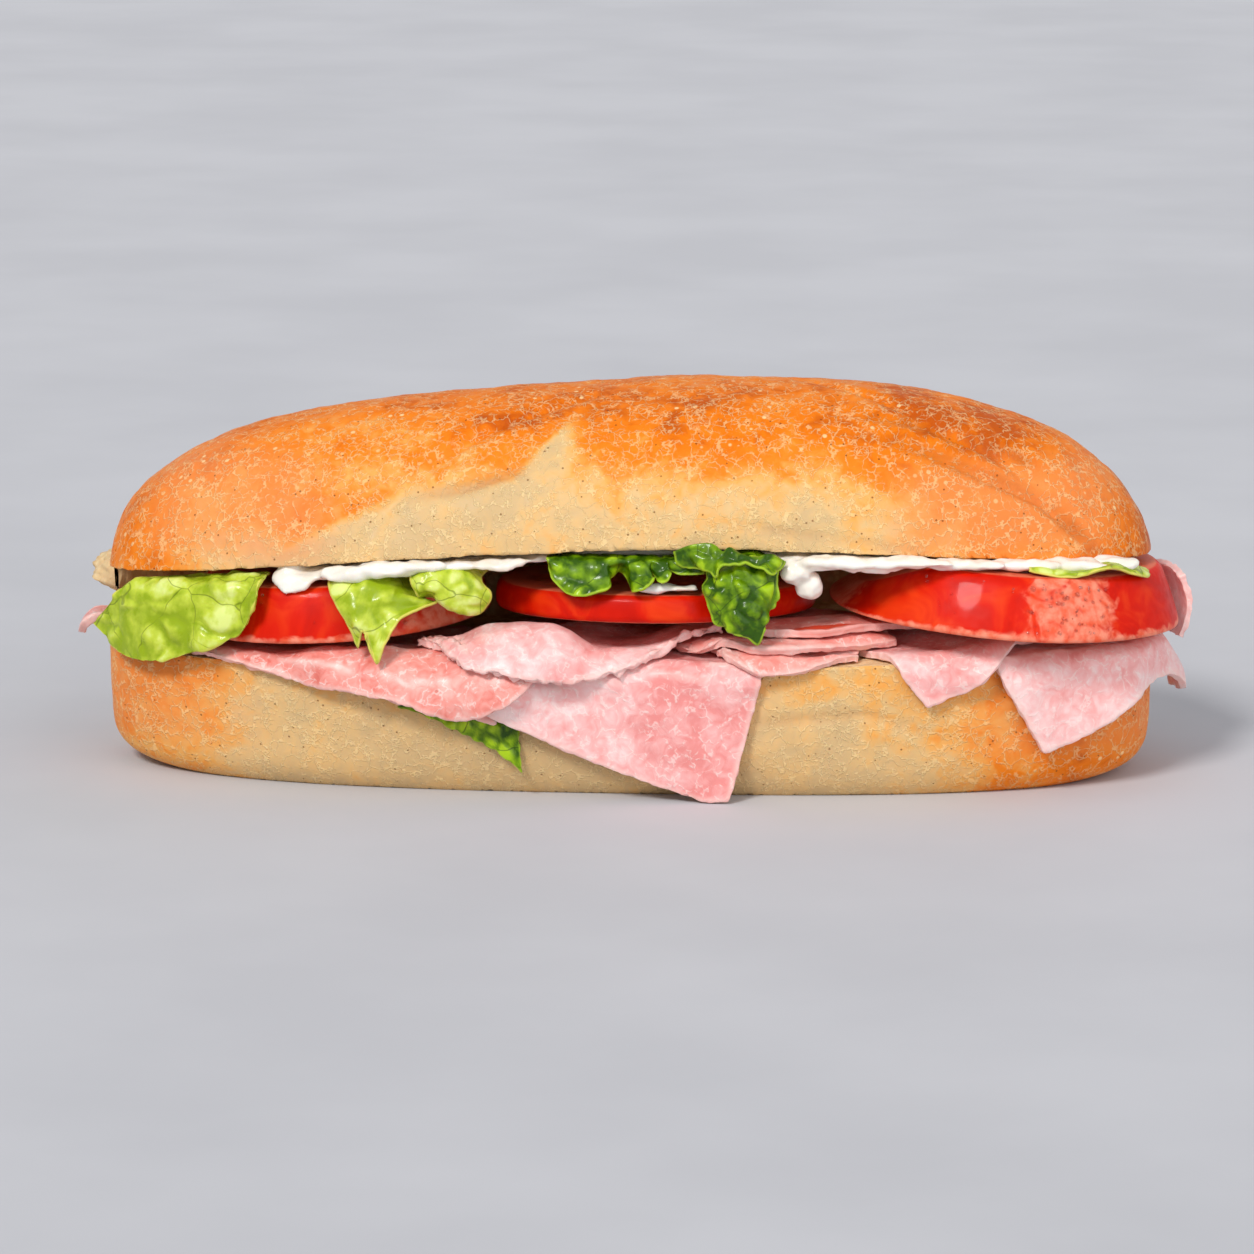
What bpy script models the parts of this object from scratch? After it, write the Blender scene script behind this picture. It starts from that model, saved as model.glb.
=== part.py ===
"""A hinge-cut bread roll filled with ham, tomato slices, lettuce and mayonnaise.

Metres, +Z up. X runs along the roll, -Y is its open front, and the roll stands on Z = 0.
"""

import math

import bmesh
import bpy
import numpy as np
from mathutils import Euler, Vector, noise
from mathutils.bvhtree import BVHTree

MM = 0.001

# The roll: a blunt loaf, cut open by a slit from the front that leaves a hinge of crust at the back
HALF_LENGTH = 113 * MM
HALF_WIDTH = 38.5 * MM
WAIST_Z = 40 * MM
CROWN_Z = 83.2 * MM
BELLY_DEPTH = 44 * MM
PLAN_POWER = 2.6
CROWN_POWER = 2.2
CROWN_LEAN = 0.075
BELLY_POWER = 5.5
LOAF_SIDES = 38
LOAF_STATIONS = 44
BUMP = 0.9 * MM
SCORE_DEPTH = 1.6 * MM
SCORE_WIDTH = 4.5 * MM

FLOOR_Z = 27.9 * MM
FLOOR_END_DROP = 1 * MM
FLOOR_RIGHT_RISE = 1.7 * MM
FLOOR_SAG = 3 * MM
FLOOR_SAG_X = -38 * MM
FLOOR_SAG_REACH = 26 * MM
ROOF_Z = 54 * MM
ROOF_LEFT_DROP = 10.5 * MM
ROOF_RIGHT_DROP = 5 * MM
ROOF_TOP_X = 22 * MM
ROOF_BACK_DROP = 1 * MM
HINGE_WALL = 5.5 * MM
HINGE_END_X = 50 * MM

# Thicknesses and gaps of the filling
GAP = 0.3 * MM
HAM = 1.6 * MM
LEAF = 0.9 * MM
SAUCE = 1.3 * MM
BEND = 3 * MM
BEND_END = BEND * math.pi / 2
DRAPE_STEP = 0.25 * MM
TOMATO_SIDES = 40

COLOURS = {
    "crust": ((0.63, 0.30, 0.09), 0.55),
    "ham": ((0.86, 0.46, 0.44), 0.4),
    "tomato": ((0.72, 0.06, 0.02), 0.2),
    "lettuce": ((0.33, 0.52, 0.06), 0.4),
    "mayonnaise": ((0.93, 0.91, 0.82), 0.3),
}


def clear_scene():
    for obj in list(bpy.data.objects):
        bpy.data.objects.remove(obj)


def material(name):
    """The shared Principled material of this finish."""
    found = bpy.data.materials.get(name)
    if found:
        return found
    made = bpy.data.materials.new(name)
    made.use_nodes = True
    shader = made.node_tree.nodes["Principled BSDF"]
    colour, roughness = COLOURS[name]
    shader.inputs["Base Color"].default_value = (*colour, 1)
    shader.inputs["Roughness"].default_value = roughness
    shader.inputs["Metallic"].default_value = 0
    return made


def new_object(name, bm, finish):
    """A bmesh as a named object with its finish."""
    mesh = bpy.data.meshes.new(name)
    bm.to_mesh(mesh)
    bm.free()
    mesh.materials.append(material(finish))
    obj = bpy.data.objects.new(name, mesh)
    bpy.context.scene.collection.objects.link(obj)
    return obj


def signed_power(value, power):
    return math.copysign(abs(value) ** power, value)


def smooth_step(value, low, high):
    t = min(1.0, max(0.0, (value - low) / (high - low)))
    return t * t * (3 - 2 * t)


def plan_half_width(x):
    """Half the roll's width at x, seen from above."""
    share = min(1.0, abs(x) / HALF_LENGTH)
    return HALF_WIDTH * (1 - share**PLAN_POWER) ** (1 / PLAN_POWER)


def slit_floor(x):
    """Height of the lower half's cut face, which sags under the thickest of the filling."""
    sag = FLOOR_SAG * math.exp(-(((x - FLOOR_SAG_X) / FLOOR_SAG_REACH) ** 2))
    rise = FLOOR_RIGHT_RISE * smooth_step(x, 20 * MM, 60 * MM)
    return FLOOR_Z + rise - sag - FLOOR_END_DROP * (abs(x) / HALF_LENGTH) ** 3


def slit_roof(x, y):
    """Height of the upper half's cut face: arched over the filling, lower at the hinge."""
    drop, reach = ROOF_RIGHT_DROP, HALF_LENGTH - ROOF_TOP_X
    if x < ROOF_TOP_X:
        drop, reach = ROOF_LEFT_DROP, HALF_LENGTH + ROOF_TOP_X
    arch = drop * (abs(x - ROOF_TOP_X) / reach) ** 1.7
    back = ROOF_BACK_DROP * (y + HALF_WIDTH) / (2 * HALF_WIDTH)
    return ROOF_Z - arch - back


def slit_back(x):
    """How far back the slit goes: to the hinge, and right through at the right end."""
    closed = max(plan_half_width(x) - HINGE_WALL, 3 * MM)
    opened = smooth_step(x, HINGE_END_X, HINGE_END_X + 12 * MM)
    return closed + opened * (HALF_WIDTH + 4 * MM - closed)


def score_depth(x, y, z):
    """How deep the crust's scores are at a point. Each score runs from one (x, y) to another."""
    scores = (
        (-5, -8, -56, -36),
        (34, 4, 78, -24),
        (58, -14, 103, -24),
    )
    deepest = 0.0
    for x0, y0, x1, y1 in scores:
        start = Vector((x0, y0)) * MM
        run = Vector((x1, y1)) * MM - start
        along = (Vector((x, y)) - start).dot(run) / run.length_squared
        if not 0 < along < 1:
            continue
        away = (Vector((x, y)) - start - run * along).length / SCORE_WIDTH
        ends = math.sin(math.pi * along) ** 0.5
        deepest = max(deepest, ends * math.exp(-away * away))
    return SCORE_DEPTH * deepest * smooth_step(z, 48 * MM, 58 * MM)


def loaf_point(along, around):
    """A point of the loaf's crust. along runs from -1 to 1, and around is the angle about the long axis."""
    x = HALF_LENGTH * signed_power(along, 2 / PLAN_POWER)
    lean = CROWN_LEAN * math.tanh(x / (60 * MM))
    size = math.sqrt(max(0.0, 1 - along * along)) ** (2 / PLAN_POWER)
    side, rise = math.cos(around), math.sin(around)
    if rise >= 0:
        y = HALF_WIDTH * size * signed_power(side, 2 / CROWN_POWER)
        z = WAIST_Z + (CROWN_Z - WAIST_Z) * (1 + lean) * size * rise ** (2 / CROWN_POWER)
    else:
        y = HALF_WIDTH * size * signed_power(side, 2 / BELLY_POWER)
        z = WAIST_Z - BELLY_DEPTH * size**0.2 * (-rise) ** (2 / BELLY_POWER)
    place = Vector((x, y, z))
    swell = noise.noise(place / (28 * MM)) * BUMP * smooth_step(z, 2 * MM, 12 * MM)
    outward = Vector((0.3 * along, side * size, rise)).normalized()
    place += outward * (swell - score_depth(x, y, z))
    place.z = max(0.0, place.z)
    return place


def make_loaf():
    """The whole loaf, from a sphere whose poles are its two ends."""
    bm = bmesh.new()
    bmesh.ops.create_uvsphere(bm, u_segments=LOAF_SIDES, v_segments=LOAF_STATIONS, radius=1)
    for vert in bm.verts:
        around = math.atan2(vert.co.y, vert.co.x)
        vert.co = loaf_point(vert.co.z, around)
    bmesh.ops.recalc_face_normals(bm, faces=bm.faces)
    return new_object("roll", bm, "crust")


def make_hinge_flap():
    """The pale stretched crumb of the hinge that stands out at the left end."""
    centre = Vector((-104, 11, 42.5)) * MM
    radii = Vector((15, 12, 5.5)) * MM
    bm = bmesh.new()
    bmesh.ops.create_uvsphere(bm, u_segments=18, v_segments=12, radius=1)
    for vert in bm.verts:
        rough = 1 + 0.12 * noise.noise(vert.co * 2.3)
        vert.co = centre + Vector(a * b for a, b in zip(vert.co, radii)) * rough
    return new_object("hinge_flap", bm, "crust")


def make_slit():
    """The cutter that opens the loaf: a slab between the floor and the roof of the slit."""
    columns, rows = 34, 7
    overrun = 14 * MM
    front = -HALF_WIDTH - 16 * MM
    bm = bmesh.new()
    bmesh.ops.create_grid(bm, x_segments=columns, y_segments=rows, size=1)
    floor_faces = list(bm.faces)
    raised = bmesh.ops.extrude_face_region(bm, geom=floor_faces)["geom"]
    roof = {item for item in raised if isinstance(item, bmesh.types.BMVert)}
    for vert in bm.verts:
        x = vert.co.x * (HALF_LENGTH + overrun)
        inside_x = max(-HALF_LENGTH, min(HALF_LENGTH, x))
        y = front + (slit_back(inside_x) - front) * (vert.co.y + 1) / 2
        uneven = 0.35 * MM * noise.noise(Vector((x, y, 0)) / (14 * MM))
        height = slit_roof(inside_x, y) if vert in roof else slit_floor(inside_x)
        vert.co = Vector((x, y, height + uneven))
    bmesh.ops.recalc_face_normals(bm, faces=bm.faces)
    return new_object("slit", bm, "crust")


def combine(target, other, operation):
    """Applies a Boolean of other on target, and removes other."""
    modifier = target.modifiers.new(operation.lower(), "BOOLEAN")
    modifier.operation = operation
    modifier.object = other
    graph = bpy.context.evaluated_depsgraph_get()
    result = bpy.data.meshes.new_from_object(target.evaluated_get(graph))
    target.modifiers.remove(modifier)
    target.data = result
    bpy.data.objects.remove(other)


def make_roll():
    roll = make_loaf()
    combine(roll, make_hinge_flap(), "UNION")
    combine(roll, make_slit(), "DIFFERENCE")
    return roll


def rim_line():
    """The roll's outline at the slit, from the back round the left end, the front and the right end."""
    angles = np.linspace(-0.9 * math.pi, 0.9 * math.pi, 721)
    xs = HALF_LENGTH * np.sign(np.sin(angles)) * np.abs(np.sin(angles)) ** (2 / PLAN_POWER)
    ys = -HALF_WIDTH * np.sign(np.cos(angles)) * np.abs(np.cos(angles)) ** (2 / PLAN_POWER)
    steps = np.hypot(np.diff(xs), np.diff(ys))
    lengths = np.concatenate([[0], np.cumsum(steps)])
    lengths -= lengths[len(lengths) // 2]
    return lengths, xs, ys


RIM = rim_line()


def rim_point(along):
    """A point of the outline and the way out of it there, along metres right of the front's middle."""
    lengths, xs, ys = RIM
    reach = 4 * MM
    before = Vector((np.interp(along - reach, lengths, xs), np.interp(along - reach, lengths, ys)))
    after = Vector((np.interp(along + reach, lengths, xs), np.interp(along + reach, lengths, ys)))
    run = (after - before).normalized()
    place = Vector((np.interp(along, lengths, xs), np.interp(along, lengths, ys)))
    return place, Vector((run.y, -run.x))


def under_roof(x):
    """Level of the leaves, under the mayonnaise."""
    return slit_roof(x, -HALF_WIDTH) - 4.8 * MM


def close_to_roof(x):
    """Level of the mayonnaise, and of the leaves beside it."""
    return slit_roof(x, -HALF_WIDTH) - 2.4 * MM


def on_right_tomato(x):
    """Level of the strip of leaf that lies on the right tomato."""
    return slit_roof(x, -HALF_WIDTH) - 4.5 * MM


def over_left_floor(x):
    """Level of the slice that sticks out at the left end."""
    return 31 * MM


class Guide:
    """The way a sheet lies: over a level, then round a soft bend and straight down."""

    def __init__(self, level=slit_floor, stand_off=0.0):
        self.level = level
        self.stand_off = stand_off

    def place(self, along, out):
        """Point and outward direction, out metres from where the bend starts."""
        rim, away = rim_point(along)
        rim = rim + away * self.stand_off
        away3 = Vector((away.x, away.y, 0))
        start = Vector((rim.x, rim.y, self.level(rim.x))) - away3 * BEND
        up = Vector((0, 0, 1))
        if out <= 0:
            return start + away3 * out, up
        turn = min(out, BEND_END) / BEND
        facing = away3 * math.sin(turn) + up * math.cos(turn)
        place = start - up * BEND + facing * BEND
        return place - up * max(0.0, out - BEND_END), facing


def triangles_of(obj):
    """Corners and triangles of an object's final mesh, in world space."""
    bpy.context.view_layer.update()
    graph = bpy.context.evaluated_depsgraph_get()
    evaluated = obj.evaluated_get(graph)
    mesh = evaluated.to_mesh()
    mesh.calc_loop_triangles()
    points = [evaluated.matrix_world @ vert.co for vert in mesh.vertices]
    faces = [tuple(triangle.vertices) for triangle in mesh.loop_triangles]
    evaluated.to_mesh_clear()
    return points, faces


def cells_round(i, j, wide, tall):
    """The grid cells that meet at a point, each as its four corners."""
    for a in (i - 1, i):
        for b in (j - 1, j):
            if 0 <= a < wide - 1 and 0 <= b < tall - 1:
                yield (a, b), (a + 1, b), (a + 1, b + 1), (a, b + 1)


def drape(points, pile, reach):
    """Lowers the points of a sheet towards their places until its triangles would touch the pile.

    reach is how far above their places the level points start, and how far out the hanging ones do.
    """
    wide, tall = len(points), len(points[0])
    above, beyond = reach[0] * MM, reach[1] * MM
    heights = np.zeros((wide, tall))
    for i in range(wide):
        for j in range(tall):
            heights[i, j] = above + (beyond - above) * points[i][j][1].xy.length

    def touches(i, j):
        corners, faces = [], []
        for cell in cells_round(i, j, wide, tall):
            first = len(corners)
            for a, b in cell:
                place, facing = points[a][b]
                corners.append(place + facing * float(heights[a, b] - GAP))
            for split in ((0, 1, 2), (0, 2, 3), (0, 1, 3), (1, 2, 3)):
                faces.append(tuple(first + k for k in split))
        return bool(BVHTree.FromPolygons(corners, faces).overlap(pile))

    sinking = True
    while sinking:
        sinking = False
        for i in range(wide):
            for j in range(tall):
                if heights[i, j] < DRAPE_STEP:
                    continue
                heights[i, j] -= DRAPE_STEP
                if touches(i, j):
                    heights[i, j] += DRAPE_STEP
                else:
                    sinking = True
    for i in range(wide):
        for j in range(tall):
            place, facing = points[i][j]
            points[i][j] = (place + facing * float(heights[i, j]), facing)
    return points


def row_shares(inner, outer, rows):
    """Where a column's points lie between its two ends, closest together round the bend."""
    outs = np.linspace(inner, outer, 120)
    crowding = 1 + 2.4 * np.exp(-(((outs - 2) / 4.5) ** 2))
    total = np.concatenate([[0], np.cumsum((crowding[1:] + crowding[:-1]) / 2)])
    return np.interp(np.linspace(0, total[-1], rows + 1), total, np.linspace(0, 1, 120))


def sheet_points(stations, guide, pile, columns, rows, reach, wave):
    """Columns of (point, facing) along the guide, draped on the pile.

    A station is one column in mm: where it starts (along, out) and where it ends (along, out).
    """
    spread = np.linspace(0, len(stations) - 1, columns + 1)
    order = range(len(stations))
    points = []
    for position in spread:
        column = []
        ends = [float(np.interp(position, order, values)) for values in zip(*stations)]
        for down in row_shares(ends[1], ends[3], rows):
            along = ends[0] + (ends[2] - ends[0]) * down
            out = ends[1] + (ends[3] - ends[1]) * down
            place, facing = guide.place(along * MM, out * MM)
            column.append((place + facing * wave(along, out, down) * MM, facing))
        points.append(column)
    return drape(points, pile, reach)


def sheet_object(name, points, thickness, finish):
    """A closed solid from columns of (point, facing): a grid, its triangles, then a wall."""
    wide, tall = len(points), len(points[0])
    bm = bmesh.new()
    bmesh.ops.create_grid(bm, x_segments=wide - 1, y_segments=tall - 1, size=1)
    facing_sum = Vector()
    for vert in bm.verts:
        i = round((vert.co.x + 1) / 2 * (wide - 1))
        j = round((vert.co.y + 1) / 2 * (tall - 1))
        vert.co = points[i][j][0]
        facing_sum += points[i][j][1]
    bmesh.ops.recalc_face_normals(bm, faces=bm.faces)
    normal_sum = sum((face.normal * face.calc_area() for face in bm.faces), Vector())
    if normal_sum.dot(facing_sum) < 0:
        bmesh.ops.reverse_faces(bm, faces=bm.faces)
    obj = new_object(name, bm, finish)
    cut = obj.modifiers.new("triangles", "TRIANGULATE")
    cut.quad_method = "FIXED"
    wall = obj.modifiers.new("wall", "SOLIDIFY")
    wall.thickness = thickness
    wall.offset = 1
    wall.use_even_offset = False
    return obj


def sauce_wave(along, out, down):
    """Lumps in a spread."""
    return 0.25 * math.sin(along * 0.7) * math.cos(out * 0.9 + along * 0.2) - 0.1


def ham_wave(phase, height=1.0):
    """Soft waves that grow towards the free edge of a slice."""

    def wave(along, out, down):
        free = smooth_step(out, -2, 14)
        return height * free * (1 + math.sin(along * 0.21 + phase) * math.cos(out * 0.12 + phase))

    return wave


def flared_wave(along, out, down):
    """Soft waves, and a flare away from the roll round its right end."""
    return ham_wave(1.1, 1.3)(along, out, down) + 4.5 * smooth_step(along, 118, 136) * smooth_step(out, 0, 10)


def leaf_wave(phase, height, pitch):
    """The frill of a leaf: short waves, deepest at its free edge."""

    def wave(along, out, down):
        free = smooth_step(down, 0.25, 1.0) * smooth_step(out, 0, 4)
        frill = math.sin(along * 2 * math.pi / pitch + phase)
        crinkle = 0.4 * math.sin(along * 4.1 * math.pi / pitch + out * 0.5 + phase)
        return height * free * (1.3 + frill + crinkle) / 2

    return wave


class Filling:
    """The pieces laid so far, and the pile of triangles that the next piece rests on."""

    def __init__(self, roll):
        self.points, self.faces = [], []
        self.add(roll)

    def add(self, obj):
        points, faces = triangles_of(obj)
        first = len(self.points)
        self.points += points
        self.faces += [tuple(first + k for k in face) for face in faces]
        self.pile = BVHTree.FromPolygons(self.points, self.faces)
        return obj

    def slice_of_ham(self, name, stations, wave, columns, rows, guide=Guide(), reach=(14, 14)):
        points = sheet_points(stations, guide, self.pile, columns, rows, reach, wave)
        return self.add(sheet_object(name, points, HAM, "ham"))

    def sauce(self, name, stations):
        guide = Guide(level=close_to_roof, stand_off=0.4 * MM)
        points = sheet_points(stations, guide, self.pile, 26, 5, (0, 3), sauce_wave)
        return self.add(sheet_object(name, points, SAUCE, "mayonnaise"))

    def leaf(self, name, stations, wave, guide, columns, rows, reach=(0.4, 7)):
        points = sheet_points(stations, guide, self.pile, columns, rows, reach, wave)
        return self.add(sheet_object(name, points, LEAF, "lettuce"))

    def tomato(self, name, centre, radius, slant, thick, tilt, wedge=0):
        """A slice whose skin slants in towards its top, raised until it rests on what is below.

        wedge is how much thinner it is at its left end.
        """
        bm = bmesh.new()
        bmesh.ops.create_cone(
            bm,
            cap_ends=True,
            cap_tris=True,
            segments=TOMATO_SIDES,
            radius1=radius * MM,
            radius2=(radius - slant) * MM,
            depth=thick * MM,
        )
        for vert in bm.verts:
            angle = math.atan2(vert.co.y, vert.co.x)
            lobes = 1 + 0.012 * math.cos(3 * angle + centre[0]) + 0.008 * math.cos(5 * angle)
            if vert.co.z > 0:
                vert.co.z -= wedge * MM * smooth_step(-vert.co.x, 0.3 * radius * MM, radius * MM)
            vert.co.x *= lobes
            vert.co.y *= lobes
        obj = new_object(name, bm, "tomato")
        edge = obj.modifiers.new("edge", "BEVEL")
        edge.width = 1.1 * MM
        edge.segments = 2
        edge.limit_method = "ANGLE"
        obj.rotation_euler = Euler((math.radians(tilt[0]), math.radians(tilt[1]), 0))
        obj.location = Vector(centre) * MM
        points, faces = triangles_of(obj)
        lift = 0.0
        while BVHTree.FromPolygons([p + Vector((0, 0, lift)) for p in points], faces).overlap(self.pile):
            lift += DRAPE_STEP / 2
        obj.location.z += lift + GAP
        return self.add(obj)


def lay_lower_filling(filling):
    """The shred under everything, then the ham, from the bread upwards."""
    filling.leaf(
        "lettuce_shred",
        [
            (-47, -4, -46.5, 7.5),
            (-42, -5, -40, 9),
            (-35, -5, -33, 12.5),
            (-28, -5, -26, 16),
            (-22, -4, -20, 22),
        ],
        leaf_wave(0.4, 0.8, 13),
        Guide(),
        columns=8,
        rows=8,
        reach=(12, 12),
    )
    filling.slice_of_ham(
        "ham_left_under",
        [(-60, -10, -62, 2.5), (-46, -12, -46, 6.5), (-27, -14, -25, 10.5)],
        ham_wave(0.3, 0.5),
        columns=8,
        rows=9,
    )
    filling.slice_of_ham(
        "ham_centre_flap",
        [(-22, -46, -27, 8), (-2, -48, -4, 21.3), (17, -46, 18, 29.3), (42, -42, 24, 29.3)],
        ham_wave(2.2, 0.8),
        columns=10,
        rows=15,
    )
    filling.slice_of_ham(
        "ham_right_flap",
        [
            (66, -20, 90.5, 21),
            (84, -26, 97, 19.5),
            (102, -22, 108, 13.5),
            (114, -12, 117, 9),
            (126, -8, 128, 8.5),
            (134, -7, 136, 15),
            (141, -6, 142, 15),
        ],
        flared_wave,
        columns=13,
        rows=9,
    )
    filling.slice_of_ham(
        "ham_left",
        [
            (-90, -26, -99, 1),
            (-76, -34, -82, 3.3),
            (-60, -42, -64, 5),
            (-44, -44, -47, 5),
            (-30, -44, -32, 9.5),
            (-4, -34, -16, 3.5),
        ],
        ham_wave(4.0, 0.4),
        columns=13,
        rows=9,
    )
    filling.slice_of_ham(
        "ham_right_inner_flap",
        [(32, -28, 65.5, 10.4), (46, -36, 79, 4.5), (60, -44, 93, -5)],
        ham_wave(0.0, 0.7),
        columns=7,
        rows=11,
    )
    filling.slice_of_ham(
        "ham_middle_low",
        [(18, -10, 22, 1.5), (27, -12, 29, 3.5), (40, -12, 40, 3.5), (52, -12, 51, 0)],
        ham_wave(3.0, 0.4),
        columns=6,
        rows=7,
    )
    filling.slice_of_ham(
        "ham_middle",
        [(10, -14, 13, -5), (24, -15, 26, 2), (40, -15, 40, 1.5), (58, -16, 60, -5)],
        ham_wave(1.5, 0.4),
        columns=8,
        rows=7,
    )
    filling.slice_of_ham(
        "ham_curl",
        [(-36, -6, -43, -1), (-26, -12, -31, 3), (-8, -24, -12, 4), (8, -28, 4, 3), (18, -26, 22, -5)],
        ham_wave(2.6, 0.4),
        columns=12,
        rows=8,
    )
    filling.slice_of_ham(
        "ham_middle_top",
        [(20, -30, 23, -6), (31, -32, 31, 0), (46, -32, 46, 0), (58, -30, 68, -12)],
        ham_wave(0.8, 0.3),
        columns=8,
        rows=7,
    )
    filling.slice_of_ham(
        "ham_left_end",
        [(-129.5, -5, -130.5, 2), (-127, -5, -128, 5), (-124, -5, -125, 5.5), (-121, -5, -121.5, 2.5)],
        ham_wave(0, 0),
        guide=Guide(level=over_left_floor, stand_off=5.5 * MM),
        columns=7,
        rows=5,
        reach=(2, 4),
    )


def stand_right_fold(filling):
    """The ham folded up behind the right tomato, at the open end."""
    centre = Vector((81, -3.5, 0)) * MM
    points = []
    for turn in np.linspace(12, 47, 8):
        away = Vector((math.cos(math.radians(turn)), math.sin(math.radians(turn)), 0))
        column = []
        for rise in np.linspace(0, 1, 7):
            reach = 38.9 + 1.9 * math.sin(math.pi * rise) + 0.4 * math.sin(turn * 0.3)
            height = 28 + (14 - 0.004 * (turn - 26) ** 2) * rise
            column.append((centre + away * reach * MM + Vector((0, 0, height * MM)), away))
        points.append(column)
    filling.add(sheet_object("ham_right_fold", points, HAM, "ham"))


def lay_tomatoes(filling):
    """The tomato slices: middle before it settles, radius, slant of the skin, thickness and tilt."""
    filling.tomato("tomato_left", (-62.5, -6, 36), 32.2, 3.5, 11.6, (0, -3.5))
    filling.tomato("tomato_centre", (5.5, -5.5, 36), 34.4, 0.6, 6, (-5, 0))
    filling.tomato("tomato_right", (81, -3.5, 36), 38, 5.5, 13, (-1, 4.5), wedge=10)


def lay_upper_filling(filling):
    """The mayonnaise under the upper half, then the leaves between it and the tomatoes."""
    filling.sauce(
        "mayonnaise",
        [
            (-74.5, -17, -74.5, 1.5),
            (-70.5, -20, -71, 5.5),
            (-66.5, -20, -67, 5),
            (-63, -20, -63, 2),
            (-46, -22, -46, 2),
            (-30, -22, -30, 2),
            (-22.5, -22, -22.5, 3),
            (-18, -22, -18, 0),
            (-10, -22, -10, -5),
            (6, -22, 6, -5),
            (26, -22, 26, -5),
            (38, -20, 38, 3.2),
            (50, -17, 50, 3.2),
            (57, -14, 57, 3),
            (64, -12, 64, 1),
        ],
    )
    filling.leaf(
        "lettuce_left",
        [
            (-104, -3, -117, 11),
            (-102, -4, -112, 15),
            (-98, -5, -108, 17.5),
            (-94, -5, -99, 18.5),
            (-88, -5, -90, 16.5),
            (-83, -5, -84, 14.5),
            (-79, -5, -79, 13),
            (-75.5, -4, -75, 5),
        ],
        leaf_wave(0.9, 1.6, 15),
        Guide(level=close_to_roof, stand_off=3 * MM),
        columns=14,
        rows=9,
    )
    filling.leaf(
        "lettuce_tongue",
        [
            (-61, -0.5, -60.5, 4),
            (-58.5, -1, -57.5, 9),
            (-56, -1, -55.5, 14.5),
            (-53.5, -1, -53, 13),
            (-51, -1, -51, 18),
            (-48.5, -1, -48.5, 12),
            (-45, -1, -45, 8.5),
        ],
        leaf_wave(2.0, 1.0, 9),
        Guide(level=under_roof, stand_off=3 * MM),
        columns=11,
        rows=8,
    )
    filling.leaf(
        "lettuce_fold",
        [
            (-43.5, -5, -43.5, 8),
            (-40, -6, -39, 9),
            (-35, -7, -35, 11),
            (-30, -8, -31, 11),
            (-26, -7, -26, 6),
        ],
        leaf_wave(4.4, 1.2, 8),
        Guide(level=under_roof, stand_off=1.5 * MM),
        columns=9,
        rows=8,
    )
    filling.leaf(
        "lettuce_centre",
        [(-17, -12, -15, 1), (-11, -13, -11, 7), (-6, -13, -7, 8), (0, -13, -1, 7.5), (8.5, -12, 8, 6)],
        leaf_wave(1.2, 1.4, 8),
        Guide(level=under_roof, stand_off=1 * MM),
        columns=13,
        rows=7,
    )
    filling.leaf(
        "lettuce_lobe",
        [
            (10, -12, 10, 1),
            (14, -13, 15, 5.5),
            (18, -13, 19.5, 11),
            (24, -13, 25, 16.5),
            (30, -13, 31, 17),
            (36, -12, 35, 4),
        ],
        leaf_wave(3.1, 1.3, 12),
        Guide(level=under_roof, stand_off=1.5 * MM),
        columns=11,
        rows=10,
    )
    filling.leaf(
        "lettuce_right",
        [(86, -8, 90, -3), (96, -7, 97, -0.5), (106, -7, 107, -0.5), (115, -6, 120, -2)],
        leaf_wave(0.0, 0.15, 10),
        Guide(level=on_right_tomato, stand_off=6 * MM),
        columns=9,
        rows=5,
        reach=(2.9, 7),
    )


def centre_over_floor(objects):
    """Moves everything so that its box is centred in X and Y and stands on Z = 0."""
    corners = [point for obj in objects for point in triangles_of(obj)[0]]
    low = Vector(min(corner[k] for corner in corners) for k in range(3))
    high = Vector(max(corner[k] for corner in corners) for k in range(3))
    shift = Vector((-(low.x + high.x) / 2, -(low.y + high.y) / 2, -low.z))
    for obj in objects:
        obj.location += shift


def main():
    clear_scene()
    roll = make_roll()
    filling = Filling(roll)
    lay_lower_filling(filling)
    lay_tomatoes(filling)
    stand_right_fold(filling)
    lay_upper_filling(filling)
    centre_over_floor(list(bpy.data.objects))


main()
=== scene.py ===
"""Looks of a bread roll filled with ham, tomato, lettuce and mayonnaise.

Lengths in the shape functions are millimetres from the middle of the roll. at_place() turns them into metres
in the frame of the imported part.
"""

import math
import random

import bmesh
import bpy
import numpy as np
from mathutils import Euler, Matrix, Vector, noise
from mathutils.kdtree import KDTree


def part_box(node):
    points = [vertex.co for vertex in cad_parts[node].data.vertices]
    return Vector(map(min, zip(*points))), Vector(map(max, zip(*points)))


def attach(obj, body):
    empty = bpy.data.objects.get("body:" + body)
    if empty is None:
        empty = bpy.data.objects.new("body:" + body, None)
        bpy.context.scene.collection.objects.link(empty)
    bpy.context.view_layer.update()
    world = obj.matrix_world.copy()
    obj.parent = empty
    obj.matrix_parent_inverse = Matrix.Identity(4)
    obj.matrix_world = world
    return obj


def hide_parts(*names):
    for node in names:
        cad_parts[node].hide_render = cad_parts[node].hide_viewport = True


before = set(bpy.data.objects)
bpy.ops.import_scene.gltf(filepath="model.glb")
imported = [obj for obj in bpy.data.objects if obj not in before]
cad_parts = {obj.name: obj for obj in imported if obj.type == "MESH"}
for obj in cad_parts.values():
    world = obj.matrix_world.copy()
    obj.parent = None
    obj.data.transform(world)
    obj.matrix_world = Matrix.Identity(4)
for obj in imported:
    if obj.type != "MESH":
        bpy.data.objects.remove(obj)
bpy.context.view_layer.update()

MM = 0.001
ROLL_MIDDLE = Vector((-1.0366, 5.2559, 0.0))

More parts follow.
